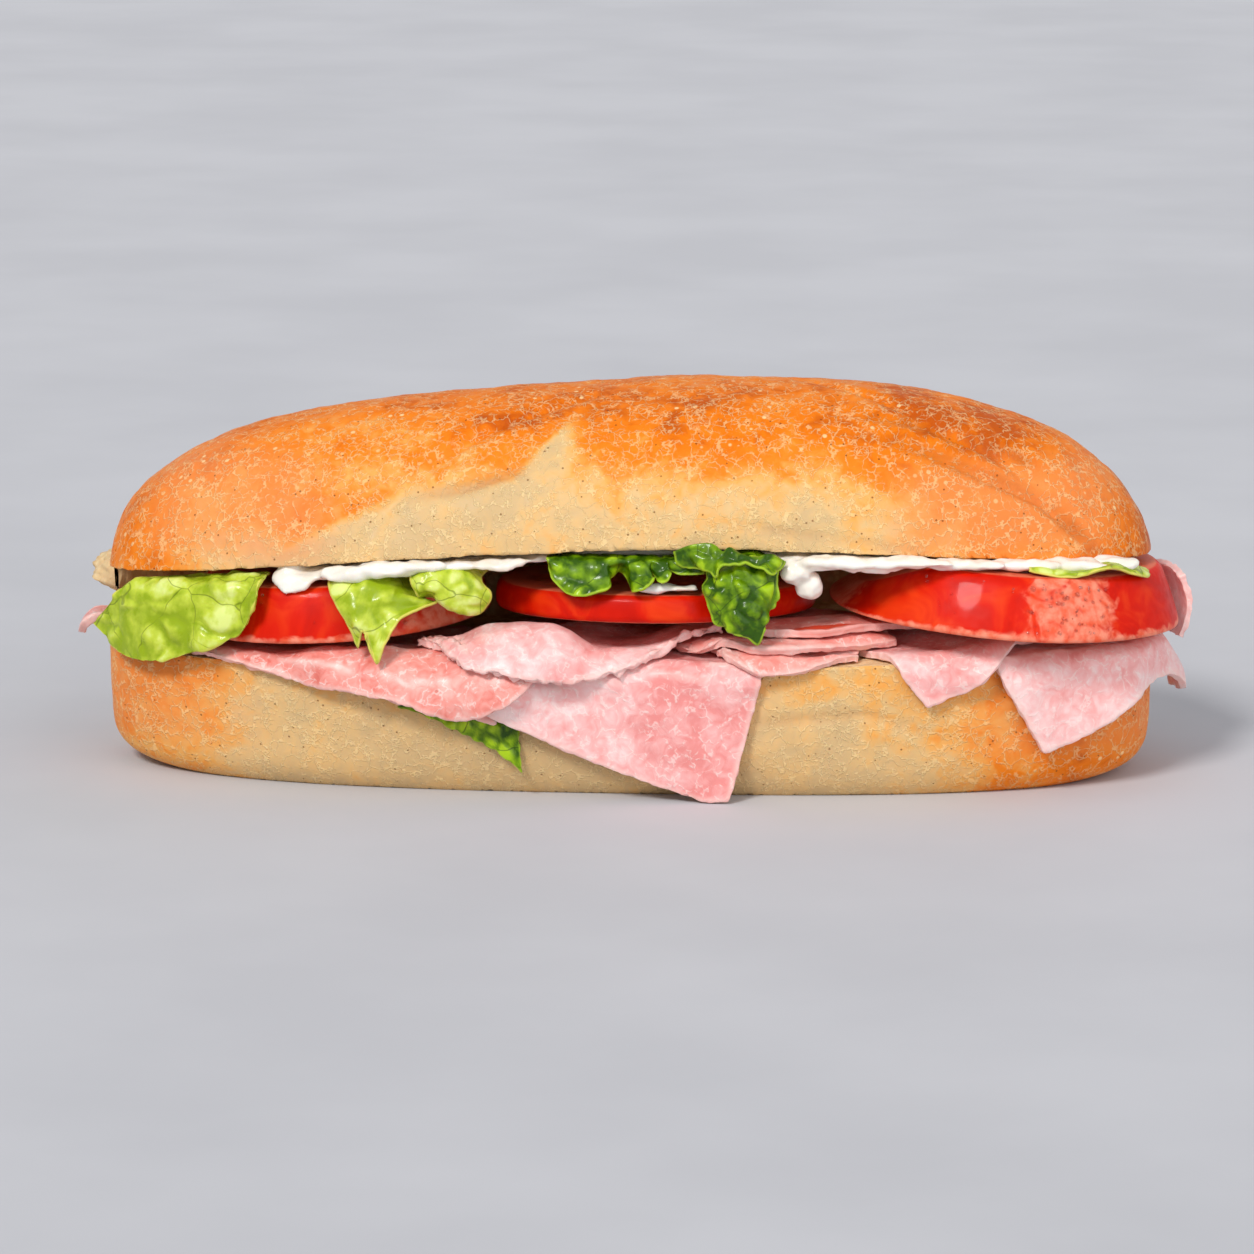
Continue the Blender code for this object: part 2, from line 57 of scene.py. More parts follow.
# The roll, as the part has it, in millimetres
HALF_LENGTH = 113
HALF_WIDTH = 38.5
WAIST_Z = 40
CROWN_Z = 83.2
BELLY_DEPTH = 44
PLAN_POWER = 2.6
CROWN_POWER = 2.2
CROWN_LEAN = 0.075
BELLY_POWER = 5.5
FLOOR_Z = 27.9
FLOOR_END_DROP = 1
FLOOR_RIGHT_RISE = 1.7
FLOOR_SAG = 3
FLOOR_SAG_X = -38
FLOOR_SAG_REACH = 26
ROOF_Z = 54
ROOF_LEFT_DROP = 10.5
ROOF_RIGHT_DROP = 5
ROOF_TOP_X = 22
ROOF_BACK_DROP = 1
HINGE_WALL = 5.5
HINGE_END_X = 50
HINGE_FLAP = (-104, 11, 38.5)
HINGE_FLAP_RADII = (15, 12, 5.5)
SLIT_BEYOND_FRONT = 16
SLIT_BEYOND_ENDS = 14
SLIT_BEYOND_BACK = 4
SLIT_OPENING = 12

# Detail of the sheets, leaves and tomatoes, in millimetres apart from the first two
SHEET_LEVELS = 3
SHEET_CREASE = 0.8
LEAF_THICKNESS = 0.5
LEAF_FRILL = 0.35
TOMATO_EDGE = 1.1
TOMATO_BULGE = 0.35

# The camera of the photograph
CAMERA_ABOVE = 12  # degrees above the table
CAMERA_BESIDE = 4  # degrees to the right of the front
CAMERA_AIM = (-0.5, 0, 29.3)  # mm
CAMERA_AWAY = 1.252  # metres from the aim
PICTURE_WIDTH = 1254  # pixels
FOCAL_LENGTH = 5758  # pixels
SENSOR_WIDTH = 36  # mm


def at_place(point):
    """A point in millimetres from the roll's middle, in metres in the part's frame."""
    return (Vector(point) + ROLL_MIDDLE) * MM


def signed_power(value, power):
    return math.copysign(abs(value) ** power, value)


def smooth_step(value, low, high):
    """From 0 at low to 1 at high. With low over high it falls instead of rising."""
    t = min(1.0, max(0.0, (value - low) / (high - low)))
    return t * t * (3 - 2 * t)


def mix(a, b, share):
    """The value a, or b where share is 1."""
    return a + (b - a) * share


def rough_noise(point, size, seed=0.0):
    """Noise from -1 to 1 whose lumps are about size millimetres across."""
    return noise.noise(Vector(point) / size + Vector((seed, -seed, seed * 0.5)))


def set_attribute(mesh, name, values):
    layer = mesh.attributes.new(name, "FLOAT", "POINT")
    layer.data.foreach_set("value", np.asarray(values, dtype=np.float32))


def object_from(bm, name, materials):
    mesh = bpy.data.meshes.new(name)
    bm.to_mesh(mesh)
    bm.free()
    for finish in materials:
        mesh.materials.append(finish)
    mesh.shade_smooth()
    obj = bpy.data.objects.new(name, mesh)
    bpy.context.scene.collection.objects.link(obj)
    return obj


def move_points(mesh, places):
    for vert, place in zip(mesh.vertices, places):
        vert.co = place


def tree_of(points):
    """A tree that finds the nearest of the points."""
    tree = KDTree(len(points))
    for k, point in enumerate(points):
        tree.insert(point, k)
    tree.balance()
    return tree


def apply_modifiers(obj):
    """Turns the object's mesh into what its modifiers make of it."""
    graph = bpy.context.evaluated_depsgraph_get()
    result = bpy.data.meshes.new_from_object(obj.evaluated_get(graph))
    obj.modifiers.clear()
    old = obj.data
    obj.data = result
    bpy.data.meshes.remove(old)
    result.shade_smooth()


def combine(target, other, operation):
    modifier = target.modifiers.new(operation.lower(), "BOOLEAN")
    modifier.operation = operation
    modifier.solver = "MANIFOLD"
    modifier.object = other
    apply_modifiers(target)
    bpy.data.objects.remove(other)


# Materials


class Finish:
    """A Principled material and the nodes that feed it."""

    def __init__(self, name, **constants):
        """Makes the material. The constants are its fixed inputs, with _ for a space."""
        self.material = bpy.data.materials.new(name)
        self.material.use_nodes = True
        self.tree = self.material.node_tree
        self.shader = self.tree.nodes["Principled BSDF"]
        for socket, value in constants.items():
            self.shader.inputs[socket.replace("_", " ")].default_value = value
        self.where = self.tree.nodes.new("ShaderNodeTexCoord").outputs["Object"]

    def node(self, kind, **settings):
        made = self.tree.nodes.new("ShaderNode" + kind)
        for key, value in settings.items():
            setattr(made, key, value)
        return made

    def feed(self, node, **inputs):
        """Sets or links a node's inputs by name, with _ for a space, or by number, as i0."""
        for key, value in inputs.items():
            numbered = key[0] == "i" and key[1:].isdigit()
            socket = node.inputs[int(key[1:]) if numbered else key.replace("_", " ")]
            if isinstance(value, bpy.types.NodeSocket):
                self.tree.links.new(value, socket)
            else:
                socket.default_value = value
        return node

    def attribute(self, name):
        return self.node("Attribute", attribute_name=name).outputs["Fac"]

    def math(self, operation, a, b=0.0, clamp=False):
        return self.feed(self.node("Math", operation=operation, use_clamp=clamp), i0=a, i1=b).outputs[0]

    def ramp(self, value, low, high, to_low=0.0, to_high=1.0):
        """A smooth rise or fall from to_low to to_high between the values low and high."""
        made = self.node("MapRange", interpolation_type="SMOOTHSTEP")
        self.feed(made, Value=value, From_Min=low, From_Max=high, To_Min=to_low, To_Max=to_high)
        return made.outputs["Result"]

    def noise(self, size, detail=3.0, warp=0.0):
        """Noise from 0 to 1 with lumps of about size millimetres."""
        made = self.node("TexNoise")
        return self.feed(made, Vector=self.where, Scale=1 / (size * MM), Detail=detail, Distortion=warp)

    def shifted(self, size, amount):
        """The object's coordinates pushed about by amount millimetres of noise of that size."""
        push = self.noise(size, 2.0).outputs["Color"]
        centred = self.feed(self.node("VectorMath", operation="SUBTRACT"), i0=push, i1=(0.5, 0.5, 0.5))
        scaled = self.feed(self.node("VectorMath", operation="SCALE"), i0=centred.outputs[0], Scale=amount * MM * 2)
        moved = self.feed(self.node("VectorMath", operation="ADD"), i0=self.where, i1=scaled.outputs[0])
        return moved.outputs[0]

    def cells(self, size, where=None, feature="F1"):
        """Cells of about size millimetres across, round scattered points."""
        made = self.node("TexVoronoi", feature=feature)
        return self.feed(made, Vector=where or self.where, Scale=1 / (size * MM))

    def dots(self, size, inner, outer, rare, common):
        """Round dots, from inner to outer of a cell wide, in a random share of the cells."""
        cells = self.cells(size).outputs
        dot = self.ramp(cells["Distance"], inner, outer, 1.0, 0.0)
        return self.math("MULTIPLY", dot, self.ramp(cells["Color"], rare, common))

    def colours(self, value, *stops):
        """A colour ramp: stops are (position, (r, g, b))."""
        made = self.node("ValToRGB")
        ramp = made.color_ramp
        while len(ramp.elements) < len(stops):
            ramp.elements.new(0.5)
        for element, (position, colour) in zip(ramp.elements, stops):
            element.position = position
            element.color = (*colour, 1)
        self.feed(made, Fac=value)
        return made.outputs["Color"]

    def blend(self, share, a, b):
        """The colour a, or b where share is 1."""
        a, b = (colour if isinstance(colour, bpy.types.NodeSocket) else (*colour, 1) for colour in (a, b))
        made = self.node("Mix", data_type="RGBA")
        return self.feed(made, i0=share, i6=a, i7=b).outputs[2]

    def bump(self, height, strength, distance):
        made = self.node("Bump")
        return self.feed(made, Height=height, Strength=strength, Distance=distance * MM).outputs["Normal"]

    def finish(self, **inputs):
        self.feed(self.shader, **inputs)
        return self.material


def crust_finish():
    """Baked crust: cream at the waist, golden to orange on top, with a fine pale network, pinholes and specks."""
    f = Finish("crust", IOR=1.45, Specular_IOR_Level=0.16, Subsurface_Weight=0.05,
               Subsurface_Radius=(0.003, 0.0012, 0.0004))
    bake = f.attribute("bake")
    wide = f.noise(14, 3.0, warp=0.4).outputs["Fac"]
    close = f.noise(4.0, 4.0, warp=0.9).outputs["Fac"]
    patchy = f.math("ADD", f.math("MULTIPLY", f.math("SUBTRACT", wide, 0.5), 0.9),
                    f.math("MULTIPLY", f.math("SUBTRACT", close, 0.5), 0.55))
    baked = f.math("ADD", bake, patchy, clamp=True)
    colour = f.colours(
        baked,
        (0.0, (0.66, 0.45, 0.22)),
        (0.2, (0.77, 0.49, 0.21)),
        (0.4, (0.86, 0.41, 0.10)),
        (0.6, (0.88, 0.238, 0.012)),
        (0.8, (0.82, 0.185, 0.002)),
        (1.0, (0.54, 0.09, 0.001)),
    )
    colour = f.blend(f.math("MULTIPLY", f.attribute("blush"), 0.8), colour, (0.85, 0.26, 0.075))
    wide_cells = f.cells(3.4, f.shifted(2.2, 1.7), "DISTANCE_TO_EDGE").outputs["Distance"]
    small_cells = f.cells(2.0, f.shifted(1.3, 1.0), "DISTANCE_TO_EDGE").outputs["Distance"]
    lines = f.ramp(wide_cells, 0.02, 0.055, 1.0, 0.0)
    fine_lines = f.ramp(small_cells, 0.025, 0.08, 1.0, 0.0)
    fine_lines = f.math("MULTIPLY", fine_lines, f.ramp(f.noise(6, 2.0).outputs["Fac"], 0.4, 0.55))
    network = f.math("MAXIMUM", lines, fine_lines)
    network = f.math("MULTIPLY", network, f.ramp(f.noise(2.2, 2.0).outputs["Fac"], 0.38, 0.52))
    pale_line = f.blend(0.55, colour, (1.0, 0.75, 0.38))
    colour = f.blend(f.math("MULTIPLY", network, 0.68), colour, pale_line)
    speck = f.math("MULTIPLY", f.dots(3.4, 0.10, 0.19, 0.6, 0.64), f.ramp(bake, 0.45, 0.75))
    colour = f.blend(f.math("MULTIPLY", speck, 0.7), colour, (1.0, 0.72, 0.36))
    hole = f.dots(1.7, 0.07, 0.16, 0.6, 0.64)
    colour = f.blend(f.math("MULTIPLY", hole, 0.7), colour, (0.24, 0.07, 0.012))
    # Painted shade: the crust is darkened to brown along its creases.
    crease = f.attribute("crease")
    colour = f.blend(f.math("MULTIPLY", crease, 0.5, clamp=True), colour, (0.46, 0.10, 0.006))
    relief = f.math("ADD", f.math("MULTIPLY", network, 0.6), f.math("MULTIPLY", close, 0.7))
    relief = f.math("ADD", relief, f.math("MULTIPLY", speck, 0.5))
    relief = f.math("SUBTRACT", relief, f.math("MULTIPLY", hole, 0.9))
    rough = f.ramp(close, 0.3, 0.7, 0.36, 0.56)
    return f.finish(Base_Color=colour, Roughness=rough, Normal=f.bump(relief, 0.75, 0.3))


def crumb_finish():
    """Cut bread: pale, open and rough."""
    f = Finish("crumb", Roughness=0.85, Specular_IOR_Level=0.2, Subsurface_Weight=0.1,
               Subsurface_Radius=(0.003, 0.002, 0.001))
    pores = f.cells(2.2, f.shifted(2.5, 0.8)).outputs["Distance"]
    lumps = f.noise(3.0, 4.0).outputs["Fac"]
    colour = f.colours(f.noise(7, 4.0).outputs["Fac"], (0.3, (0.62, 0.36, 0.15)), (0.7, (0.78, 0.54, 0.27)))
    colour = f.blend(f.ramp(pores, 0.2, 0.5, 0.0, 0.5), (0.83, 0.62, 0.35), colour)
    relief = f.math("ADD", f.math("MULTIPLY", pores, 0.8), lumps)
    return f.finish(Base_Color=colour, Normal=f.bump(relief, 0.9, 0.5))


def ham_finish(name, pale, pink, deep, wet):
    """Cooked ham: mottled pink with pale curls of fat, paler along its cut edges, moist.

    The attribute ridge says how red it is: -1 pale, 0 plain, 1 pinker, 2 stained with juice.
    """
    f = Finish(name, IOR=1.4, Subsurface_Weight=0.15, Subsurface_Radius=(0.003, 0.0012, 0.001),
               Coat_Weight=wet, Coat_Roughness=0.24)
    wide = f.noise(11, 3.0, warp=0.8).outputs["Fac"]
    close = f.noise(3.0, 4.0, warp=1.6).outputs["Fac"]
    grain = f.noise(0.9, 3.0).outputs["Fac"]
    share = f.math("ADD", f.math("MULTIPLY", wide, 0.6), f.math("MULTIPLY", close, 0.4))
    redness = f.attribute("ridge")
    share = f.math("SUBTRACT", share, f.math("MULTIPLY", redness, 0.09))
    colour = f.colours(share, (0.32, deep), (0.48, pink), (0.66, pale))
    strands = f.cells(3.6, f.shifted(2.4, 1.9), "DISTANCE_TO_EDGE").outputs["Distance"]
    curl = f.math("MULTIPLY", f.ramp(strands, 0.02, 0.06, 1.0, 0.0), f.ramp(close, 0.42, 0.58))
    colour = f.blend(f.math("MULTIPLY", curl, 0.5), colour, (0.98, 0.78, 0.73))
    colour = f.blend(f.ramp(f.math("ADD", redness, f.math("SUBTRACT", close, 0.5)), 1.4, 1.7), colour,
                     (0.74, 0.07, 0.03))
    at_edge = f.ramp(f.attribute("edge_mm"), 0.3, 1.6, 1.0, 0.0)
    colour = f.blend(f.math("MULTIPLY", at_edge, 0.55), colour, (0.96, 0.66, 0.60))
    colour = f.blend(f.math("MULTIPLY", f.dots(5.5, 0.04, 0.11, 0.66, 0.7), 0.6), colour, (0.58, 0.13, 0.09))
    relief = f.math("ADD", f.math("MULTIPLY", close, 0.8), f.math("MULTIPLY", grain, 0.25))
    relief = f.math("ADD", relief, f.math("MULTIPLY", curl, 0.25))
    rough = f.ramp(close, 0.3, 0.7, 0.32, 0.5)
    return f.finish(Base_Color=colour, Roughness=rough, Normal=f.bump(relief, 0.6, 0.28))


def tomato_finish():
    """Tomato: glossy red skin, and cut faces with a wall, spokes and juicy pockets."""
    f = Finish("tomato", IOR=1.45, Specular_IOR_Level=0.12, Subsurface_Weight=0.08,
               Subsurface_Radius=(0.003, 0.0004, 0.0002), Coat_Weight=0.08, Coat_Roughness=0.08)
    inward = f.attribute("inward_mm")
    pockets = f.attribute("pocket")
    flesh_and_highlight = f.attribute("flesh_and_highlight")
    clouds = f.noise(9, 3.0, warp=0.8).outputs["Fac"]
    close = f.noise(2.2, 3.0).outputs["Fac"]
    skin = f.colours(clouds, (0.3, (0.56, 0.006, 0.0)), (0.5, (0.71, 0.011, 0.0)), (0.7, (0.82, 0.045, 0.004)))
    wall = f.colours(close, (0.3, (0.68, 0.09, 0.035)), (0.7, (0.80, 0.2, 0.10)))
    gel = f.colours(close, (0.35, (0.55, 0.04, 0.01)), (0.65, (0.70, 0.16, 0.03)))
    gel = f.blend(f.dots(3.4, 0.16, 0.26, 0.4, 0.5), gel, (0.78, 0.55, 0.25))
    cut = f.blend(pockets, wall, gel)
    colour = f.blend(f.ramp(inward, 0.1, 0.9), skin, cut)
    # Pale salmon patches on the skin: pale along the lower rim and at the right slice's left end, and painted
    # highlights on the fronts of the left and right slices.
    cloudy = f.math("SUBTRACT", f.noise(4.0, 3.0, warp=0.8).outputs["Fac"], 0.5)
    mottled = f.math("ADD", flesh_and_highlight, f.math("MULTIPLY", cloudy, 1.5))
    pale = f.colours(close, (0.35, (0.86, 0.12, 0.05)), (0.65, (0.94, 0.30, 0.19)))
    colour = f.blend(f.math("MULTIPLY", f.ramp(mottled, 0.25, 0.75), f.ramp(flesh_and_highlight, 0.02, 0.3)), colour, pale)
    relief = f.math("ADD", f.math("MULTIPLY", clouds, 0.6), f.math("MULTIPLY", close, 0.4))
    rough = f.ramp(close, 0.3, 0.7, 0.36, 0.5)
    return f.finish(Base_Color=colour, Roughness=rough, Normal=f.bump(relief, 0.4, 0.3))


def leaf_finish(name, light, mid, dark, cloud=8.0, rim=(0.80, 0.70, 0.14)):
    """Lettuce: clouded glossy green with a few thin dark veins and a thin paler rim."""
    f = Finish(name, IOR=1.45, Specular_IOR_Level=0.2, Subsurface_Weight=0.1,
               Subsurface_Radius=(0.0008, 0.0014, 0.0001), Coat_Weight=0.22, Coat_Roughness=0.12)
    clouds = f.noise(cloud, 3.0, warp=0.5).outputs["Fac"]
    close = f.noise(2.2, 3.0).outputs["Fac"]
    ridge = f.attribute("ridge")
    share = f.math("ADD", f.math("MULTIPLY", clouds, 0.7), f.math("MULTIPLY", close, 0.3))
    # Painted shade and light: darker in the sunk lines between the pillows, lighter on their tops.
    share = f.math("ADD", share, f.math("MULTIPLY", f.math("SUBTRACT", ridge, 0.6), 0.16))
    colour = f.colours(share, (0.36, dark), (0.5, mid), (0.62, light))
    veins = f.cells(13, f.shifted(9.0, 2.2), "DISTANCE_TO_EDGE").outputs["Distance"]
    vein = f.math("MULTIPLY", f.ramp(veins, 0.003, 0.013, 1.0, 0.0), f.ramp(clouds, 0.36, 0.5))
    colour = f.blend(f.math("MULTIPLY", vein, 0.6), colour, tuple(0.35 * v for v in dark))
    colour = f.blend(f.ramp(f.attribute("edge_mm"), 0.05, 0.45, 0.8, 0.0), colour, rim)
    relief = f.math("ADD", f.math("MULTIPLY", close, 0.5), f.math("MULTIPLY", vein, -0.4))
    rough = f.ramp(close, 0.3, 0.7, 0.26, 0.42)
    return f.finish(Base_Color=colour, Roughness=rough, Normal=f.bump(relief, 0.4, 0.28))


def mayonnaise_finish():
    """Mayonnaise: creamy white and glossy."""
    f = Finish("mayonnaise", IOR=1.46, Subsurface_Weight=0.2, Subsurface_Radius=(0.002, 0.0016, 0.0012),
               Coat_Weight=0.4, Coat_Roughness=0.14)
    clouds = f.noise(7, 3.0).outputs["Fac"]
    colour = f.colours(clouds, (0.35, (0.88, 0.80, 0.68)), (0.6, (0.95, 0.90, 0.83)))
    rough = f.ramp(clouds, 0.3, 0.7, 0.22, 0.4)
    return f.finish(Base_Color=colour, Roughness=rough, Normal=f.bump(clouds, 0.3, 0.4))


def droplet_finish():
    """Clear juice."""
    f = Finish("juice", IOR=1.34, Transmission_Weight=1.0)
    tint = f.colours(f.noise(1.2, 1.0).outputs["Fac"], (0.4, (1.0, 0.86, 0.82)), (0.6, (1.0, 0.97, 0.95)))
    return f.finish(Base_Color=tint, Roughness=f.ramp(f.noise(2.0, 1.0).outputs["Fac"], 0.3, 0.7, 0.02, 0.06))


CRUST = crust_finish()
CRUMB = crumb_finish()
HAM = ham_finish("ham", (0.95, 0.50, 0.44), (0.90, 0.32, 0.27), (0.74, 0.16, 0.12), 0.2)
HAM_PALE = ham_finish("ham_pale", (0.97, 0.70, 0.68), (0.93, 0.46, 0.44), (0.84, 0.29, 0.27), 0.18)
TOMATO = tomato_finish()
LIGHT_LEAF = leaf_finish("lettuce_light", (0.74, 0.83, 0.24), (0.54, 0.64, 0.05), (0.30, 0.41, 0.008))
DARK_LEAF = leaf_finish("lettuce_dark", (0.38, 0.58, 0.01), (0.16, 0.30, 0.001), (0.03, 0.09, 0.0), 5.0,
                        (0.42, 0.60, 0.03))
MAYONNAISE = mayonnaise_finish()
JUICE = droplet_finish()


# The roll


def plan_half_width(x):
    """Half the roll's width at x, seen from above."""
    share = min(1.0, abs(x) / HALF_LENGTH)
    return HALF_WIDTH * (1 - share**PLAN_POWER) ** (1 / PLAN_POWER)


def slit_floor(x):
    """The height of the base's cut face at x."""
    rise = FLOOR_RIGHT_RISE * smooth_step(x, 20, 60)
    sag = FLOOR_SAG * math.exp(-(((x - FLOOR_SAG_X) / FLOOR_SAG_REACH) ** 2))
    return FLOOR_Z + rise - sag - FLOOR_END_DROP * (abs(x) / HALF_LENGTH) ** 3


def slit_roof(x, y):
    """The height of the crown's cut face."""
    if x < ROOF_TOP_X:
        drop, reach = ROOF_LEFT_DROP, HALF_LENGTH + ROOF_TOP_X
    else:
        drop, reach = ROOF_RIGHT_DROP, HALF_LENGTH - ROOF_TOP_X
    arch = drop * (abs(x - ROOF_TOP_X) / reach) ** 1.7
    return ROOF_Z - arch - ROOF_BACK_DROP * (y + HALF_WIDTH) / (2 * HALF_WIDTH)


def slit_back(x):
    """How far back the slit goes: to the hinge's wall, or right through where the hinge has ended."""
    closed = max(plan_half_width(x) - HINGE_WALL, 3)
    opened = smooth_step(x, HINGE_END_X, HINGE_END_X + SLIT_OPENING)
    return closed + opened * (HALF_WIDTH + SLIT_BEYOND_BACK - closed)


SCORES = (
    # one end as x, y and the depth, the other as x, y and the width, in mm
    ((-5, -8, 1.5), (-56, -36, 1.4)),
    ((34, 4, 1.2), (78, -24, 1.6)),
    ((58, -14, 1.8), (103, -24, 1.8)),
)


def score_depth(x, y, z):
    """How deep the broad scores of the crown are at a point, in millimetres."""
    deepest = 0.0
    for (x0, y0, deep), (x1, y1, wide) in SCORES:
        start, run = Vector((x0, y0)), Vector((x1 - x0, y1 - y0))
        along = (Vector((x, y)) - start).dot(run) / run.length_squared
        if 0 < along < 1:
            away = (Vector((x, y)) - start - run * along).length / wide
            deepest = max(deepest, deep * math.sin(math.pi * along) ** 0.5 * math.exp(-away * away))
    return deepest * smooth_step(z, 48, 58)


CREASES = (
    # depth, width, points in mm
    (1.1, 1.2, ((-7, -15, 80), (-21, -29, 68), (-33, -31.5, 65.5), (-45, -33, 64), (-58, -33.5, 58))),
    (1.9, 1.5, ((56, -22, 76), (78, -24, 68), (89, -23, 63), (101, -20, 51))),
    (1.3, 1.3, ((50, -17, 80), (82, -17, 72), (103, -15, 56))),
    (0.9, 1.0, ((23, -36, 59.5), (45, -36, 56.5), (66, -34, 53))),
    (0.7, 1.0, ((30, -38, 17), (53, -36.5, 18.5), (74, -34, 12))),
)
CREASE_LINES = [(depth, wide, [Vector(p) for p in points]) for depth, wide, points in CREASES]


def crease_at(place):
    """How deep the wrinkles of the crust are at a point, in millimetres."""
    deepest = 0.0
    for depth, wide, points in CREASE_LINES:
        last = len(points) - 1
        for k in range(last):
            run = points[k + 1] - points[k]
            along = min(1.0, max(0.0, (place - points[k]).dot(run) / run.length_squared))
            away = (place - points[k] - run * along).length / wide
            if away < 3:
                fade = math.sin(math.pi * min(0.98, max(0.02, (k + along) / last))) ** 0.5
                deepest = max(deepest, depth * fade * math.exp(-away * away))
    return deepest


def even_angles(count):
    """Angles round the loaf, a like distance apart on its skin."""
    around = np.linspace(-math.pi, math.pi, 7201)
    side, rise = np.cos(around), np.sin(around)
    upper = rise >= 0
    power = np.where(upper, 2 / CROWN_POWER, 2 / BELLY_POWER)
    height = np.where(upper, CROWN_Z - WAIST_Z, BELLY_DEPTH)
    y = HALF_WIDTH * np.sign(side) * np.abs(side) ** power
    z = height * np.sign(rise) * np.abs(rise) ** power
    length = np.concatenate([[0], np.cumsum(np.hypot(np.diff(y), np.diff(z)))])
    return np.interp(np.linspace(0, length[-1], count, endpoint=False), length, around)


def loaf_point(sine, around):
    """A point of the crust: sine runs from -1 to 1 along the loaf, and around is the angle about its length."""
    x = HALF_LENGTH * sine
    along = signed_power(sine, PLAN_POWER / 2)
    lean = CROWN_LEAN * math.tanh(x / 60)
    size = math.sqrt(max(0.0, 1 - along * along)) ** (2 / PLAN_POWER)
    side, rise = math.cos(around), math.sin(around)
    if rise >= 0:
        y = HALF_WIDTH * size * signed_power(side, 2 / CROWN_POWER)
        z = WAIST_Z + (CROWN_Z - WAIST_Z) * (1 + lean) * size * rise ** (2 / CROWN_POWER)
    else:
        y = HALF_WIDTH * size * signed_power(side, 2 / BELLY_POWER)
        z = WAIST_Z - BELLY_DEPTH * size**0.2 * (-rise) ** (2 / BELLY_POWER)
    place = Vector((x, y, z))
    swell = noise.noise(place / 28) * 0.9
    relief = 0.28 * rough_noise(place, 7, 3.1) + 0.16 * rough_noise(place, 3, 7.7)
    relief += 0.09 * rough_noise(place, 1.6, 1.9)
    outward = Vector((0.3 * along, side * size, rise)).normalized()
    dents = score_depth(x, y, z) + (crease_at(place) if y < 0 else 0.0)
    place += outward * ((swell + relief) * smooth_step(z, 2, 12) - dents)
    place.z = max(0.0, place.z)
    return place


def make_loaf(rings, sides):
    bm = bmesh.new()
    bmesh.ops.create_uvsphere(bm, u_segments=sides, v_segments=rings, radius=1)
    angles = even_angles(sides)
    for vert in bm.verts:
        turn = (math.atan2(vert.co.y, vert.co.x) + math.pi) / (2 * math.pi) * sides
        vert.co = at_place(loaf_point(vert.co.z, angles[round(turn) % sides]))
    bmesh.ops.recalc_face_normals(bm, faces=bm.faces)
    return object_from(bm, "roll_dressed", [CRUST, CRUMB])


def make_hinge_flap():
    """The pale stretched crumb of the hinge, standing out at the left end."""
    bm = bmesh.new()
    bmesh.ops.create_uvsphere(bm, u_segments=72, v_segments=48, radius=1)
    for vert in bm.verts:
        rough = 1 + 0.12 * noise.noise(vert.co * 2.3) + 0.05 * noise.noise(vert.co * 7)
        rough += 0.03 * noise.noise(vert.co * 17)
        spread = vert.co * Vector(HINGE_FLAP_RADII) * rough
        vert.co = at_place(Vector(HINGE_FLAP) + spread)
    for face in bm.faces:
        face.material_index = 1
    return object_from(bm, "hinge_flap", [CRUST, CRUMB])


def make_slit(columns, rows):
    """The cutter that opens the loaf. Its two faces leave the crumb's open texture."""
    front = -HALF_WIDTH - SLIT_BEYOND_FRONT
    bm = bmesh.new()
    bmesh.ops.create_grid(bm, x_segments=columns, y_segments=rows, size=1)
    floor_faces = list(bm.faces)
    raised = bmesh.ops.extrude_face_region(bm, geom=floor_faces)["geom"]
    roof = {item for item in raised if isinstance(item, bmesh.types.BMVert)}
    for vert in bm.verts:
        x = vert.co.x * (HALF_LENGTH + SLIT_BEYOND_ENDS)
        inside_x = max(-HALF_LENGTH, min(HALF_LENGTH, x))
        y = front + (slit_back(inside_x) - front) * (vert.co.y + 1) / 2
        uneven = 0.35 * noise.noise(Vector((x, y, 0)) / 14)
        uneven += 0.3 * noise.noise(Vector((x, y, 3)) / 3) + 0.2 * noise.noise(Vector((x, y, 9)) / 1.6)
        height = slit_roof(inside_x, y) if vert in roof else slit_floor(inside_x)
        vert.co = at_place((x, y, height + uneven))
    for face in bm.faces:
        face.material_index = 1
    bmesh.ops.recalc_face_normals(bm, faces=bm.faces)
    return object_from(bm, "slit", [CRUST, CRUMB])


# The torn edge of the long score on the left, as the x and then the z of its points in mm
TEAR = ((-74, -58, -43, -33, -23, -10), (49, 58, 64.5, 65.5, 67, 80))


def baked(x, y, z):
    """How dark the crust is at a point, from 0, pale cream, to 1, deep brown."""
    end = smooth_step(abs(x + 6), 42, 100)
    if z > 40:
        crown = smooth_step(z, 56, 80)
        pale = 0.10 + 0.58 * end
        dark = 0.80 + 0.08 * end
        shade = mix(pale, dark, crown)
        tear = np.interp(x, *TEAR)
        beside = smooth_step(-x, 6, 14) * smooth_step(-x, 80, 68)
        above, below = smooth_step(z, tear - 1.5, tear + 2), smooth_step(z, tear - 14, tear - 9)
        shade += beside * (mix(0.12, 0.66, above) - shade) * max(above * (1 - crown), below * (1 - above))
        shade += 0.25 * smooth_step(x, 92, 112)
        shade -= 0.25 * smooth_step(-x, 50, 70) * smooth_step(54 - z, -4, 3) * smooth_step(-x, 105, 92)
    else:
        # Low on the base the colour turns duller and darker: painted shade where it curves under.
        rim = smooth_step(z, 12, 26)
        shade = mix(0.06, 0.26, rim) + mix(0.5, 0.42, rim) * smooth_step(abs(x + 4), 62, 104)
        shade += 0.18 * smooth_step(x, 40, 70)
    # The back is baked golden all over
    shade += smooth_step(y, 6, 24) * max(0.0, 0.46 - shade)
    return max(0.0, min(1.0, shade))


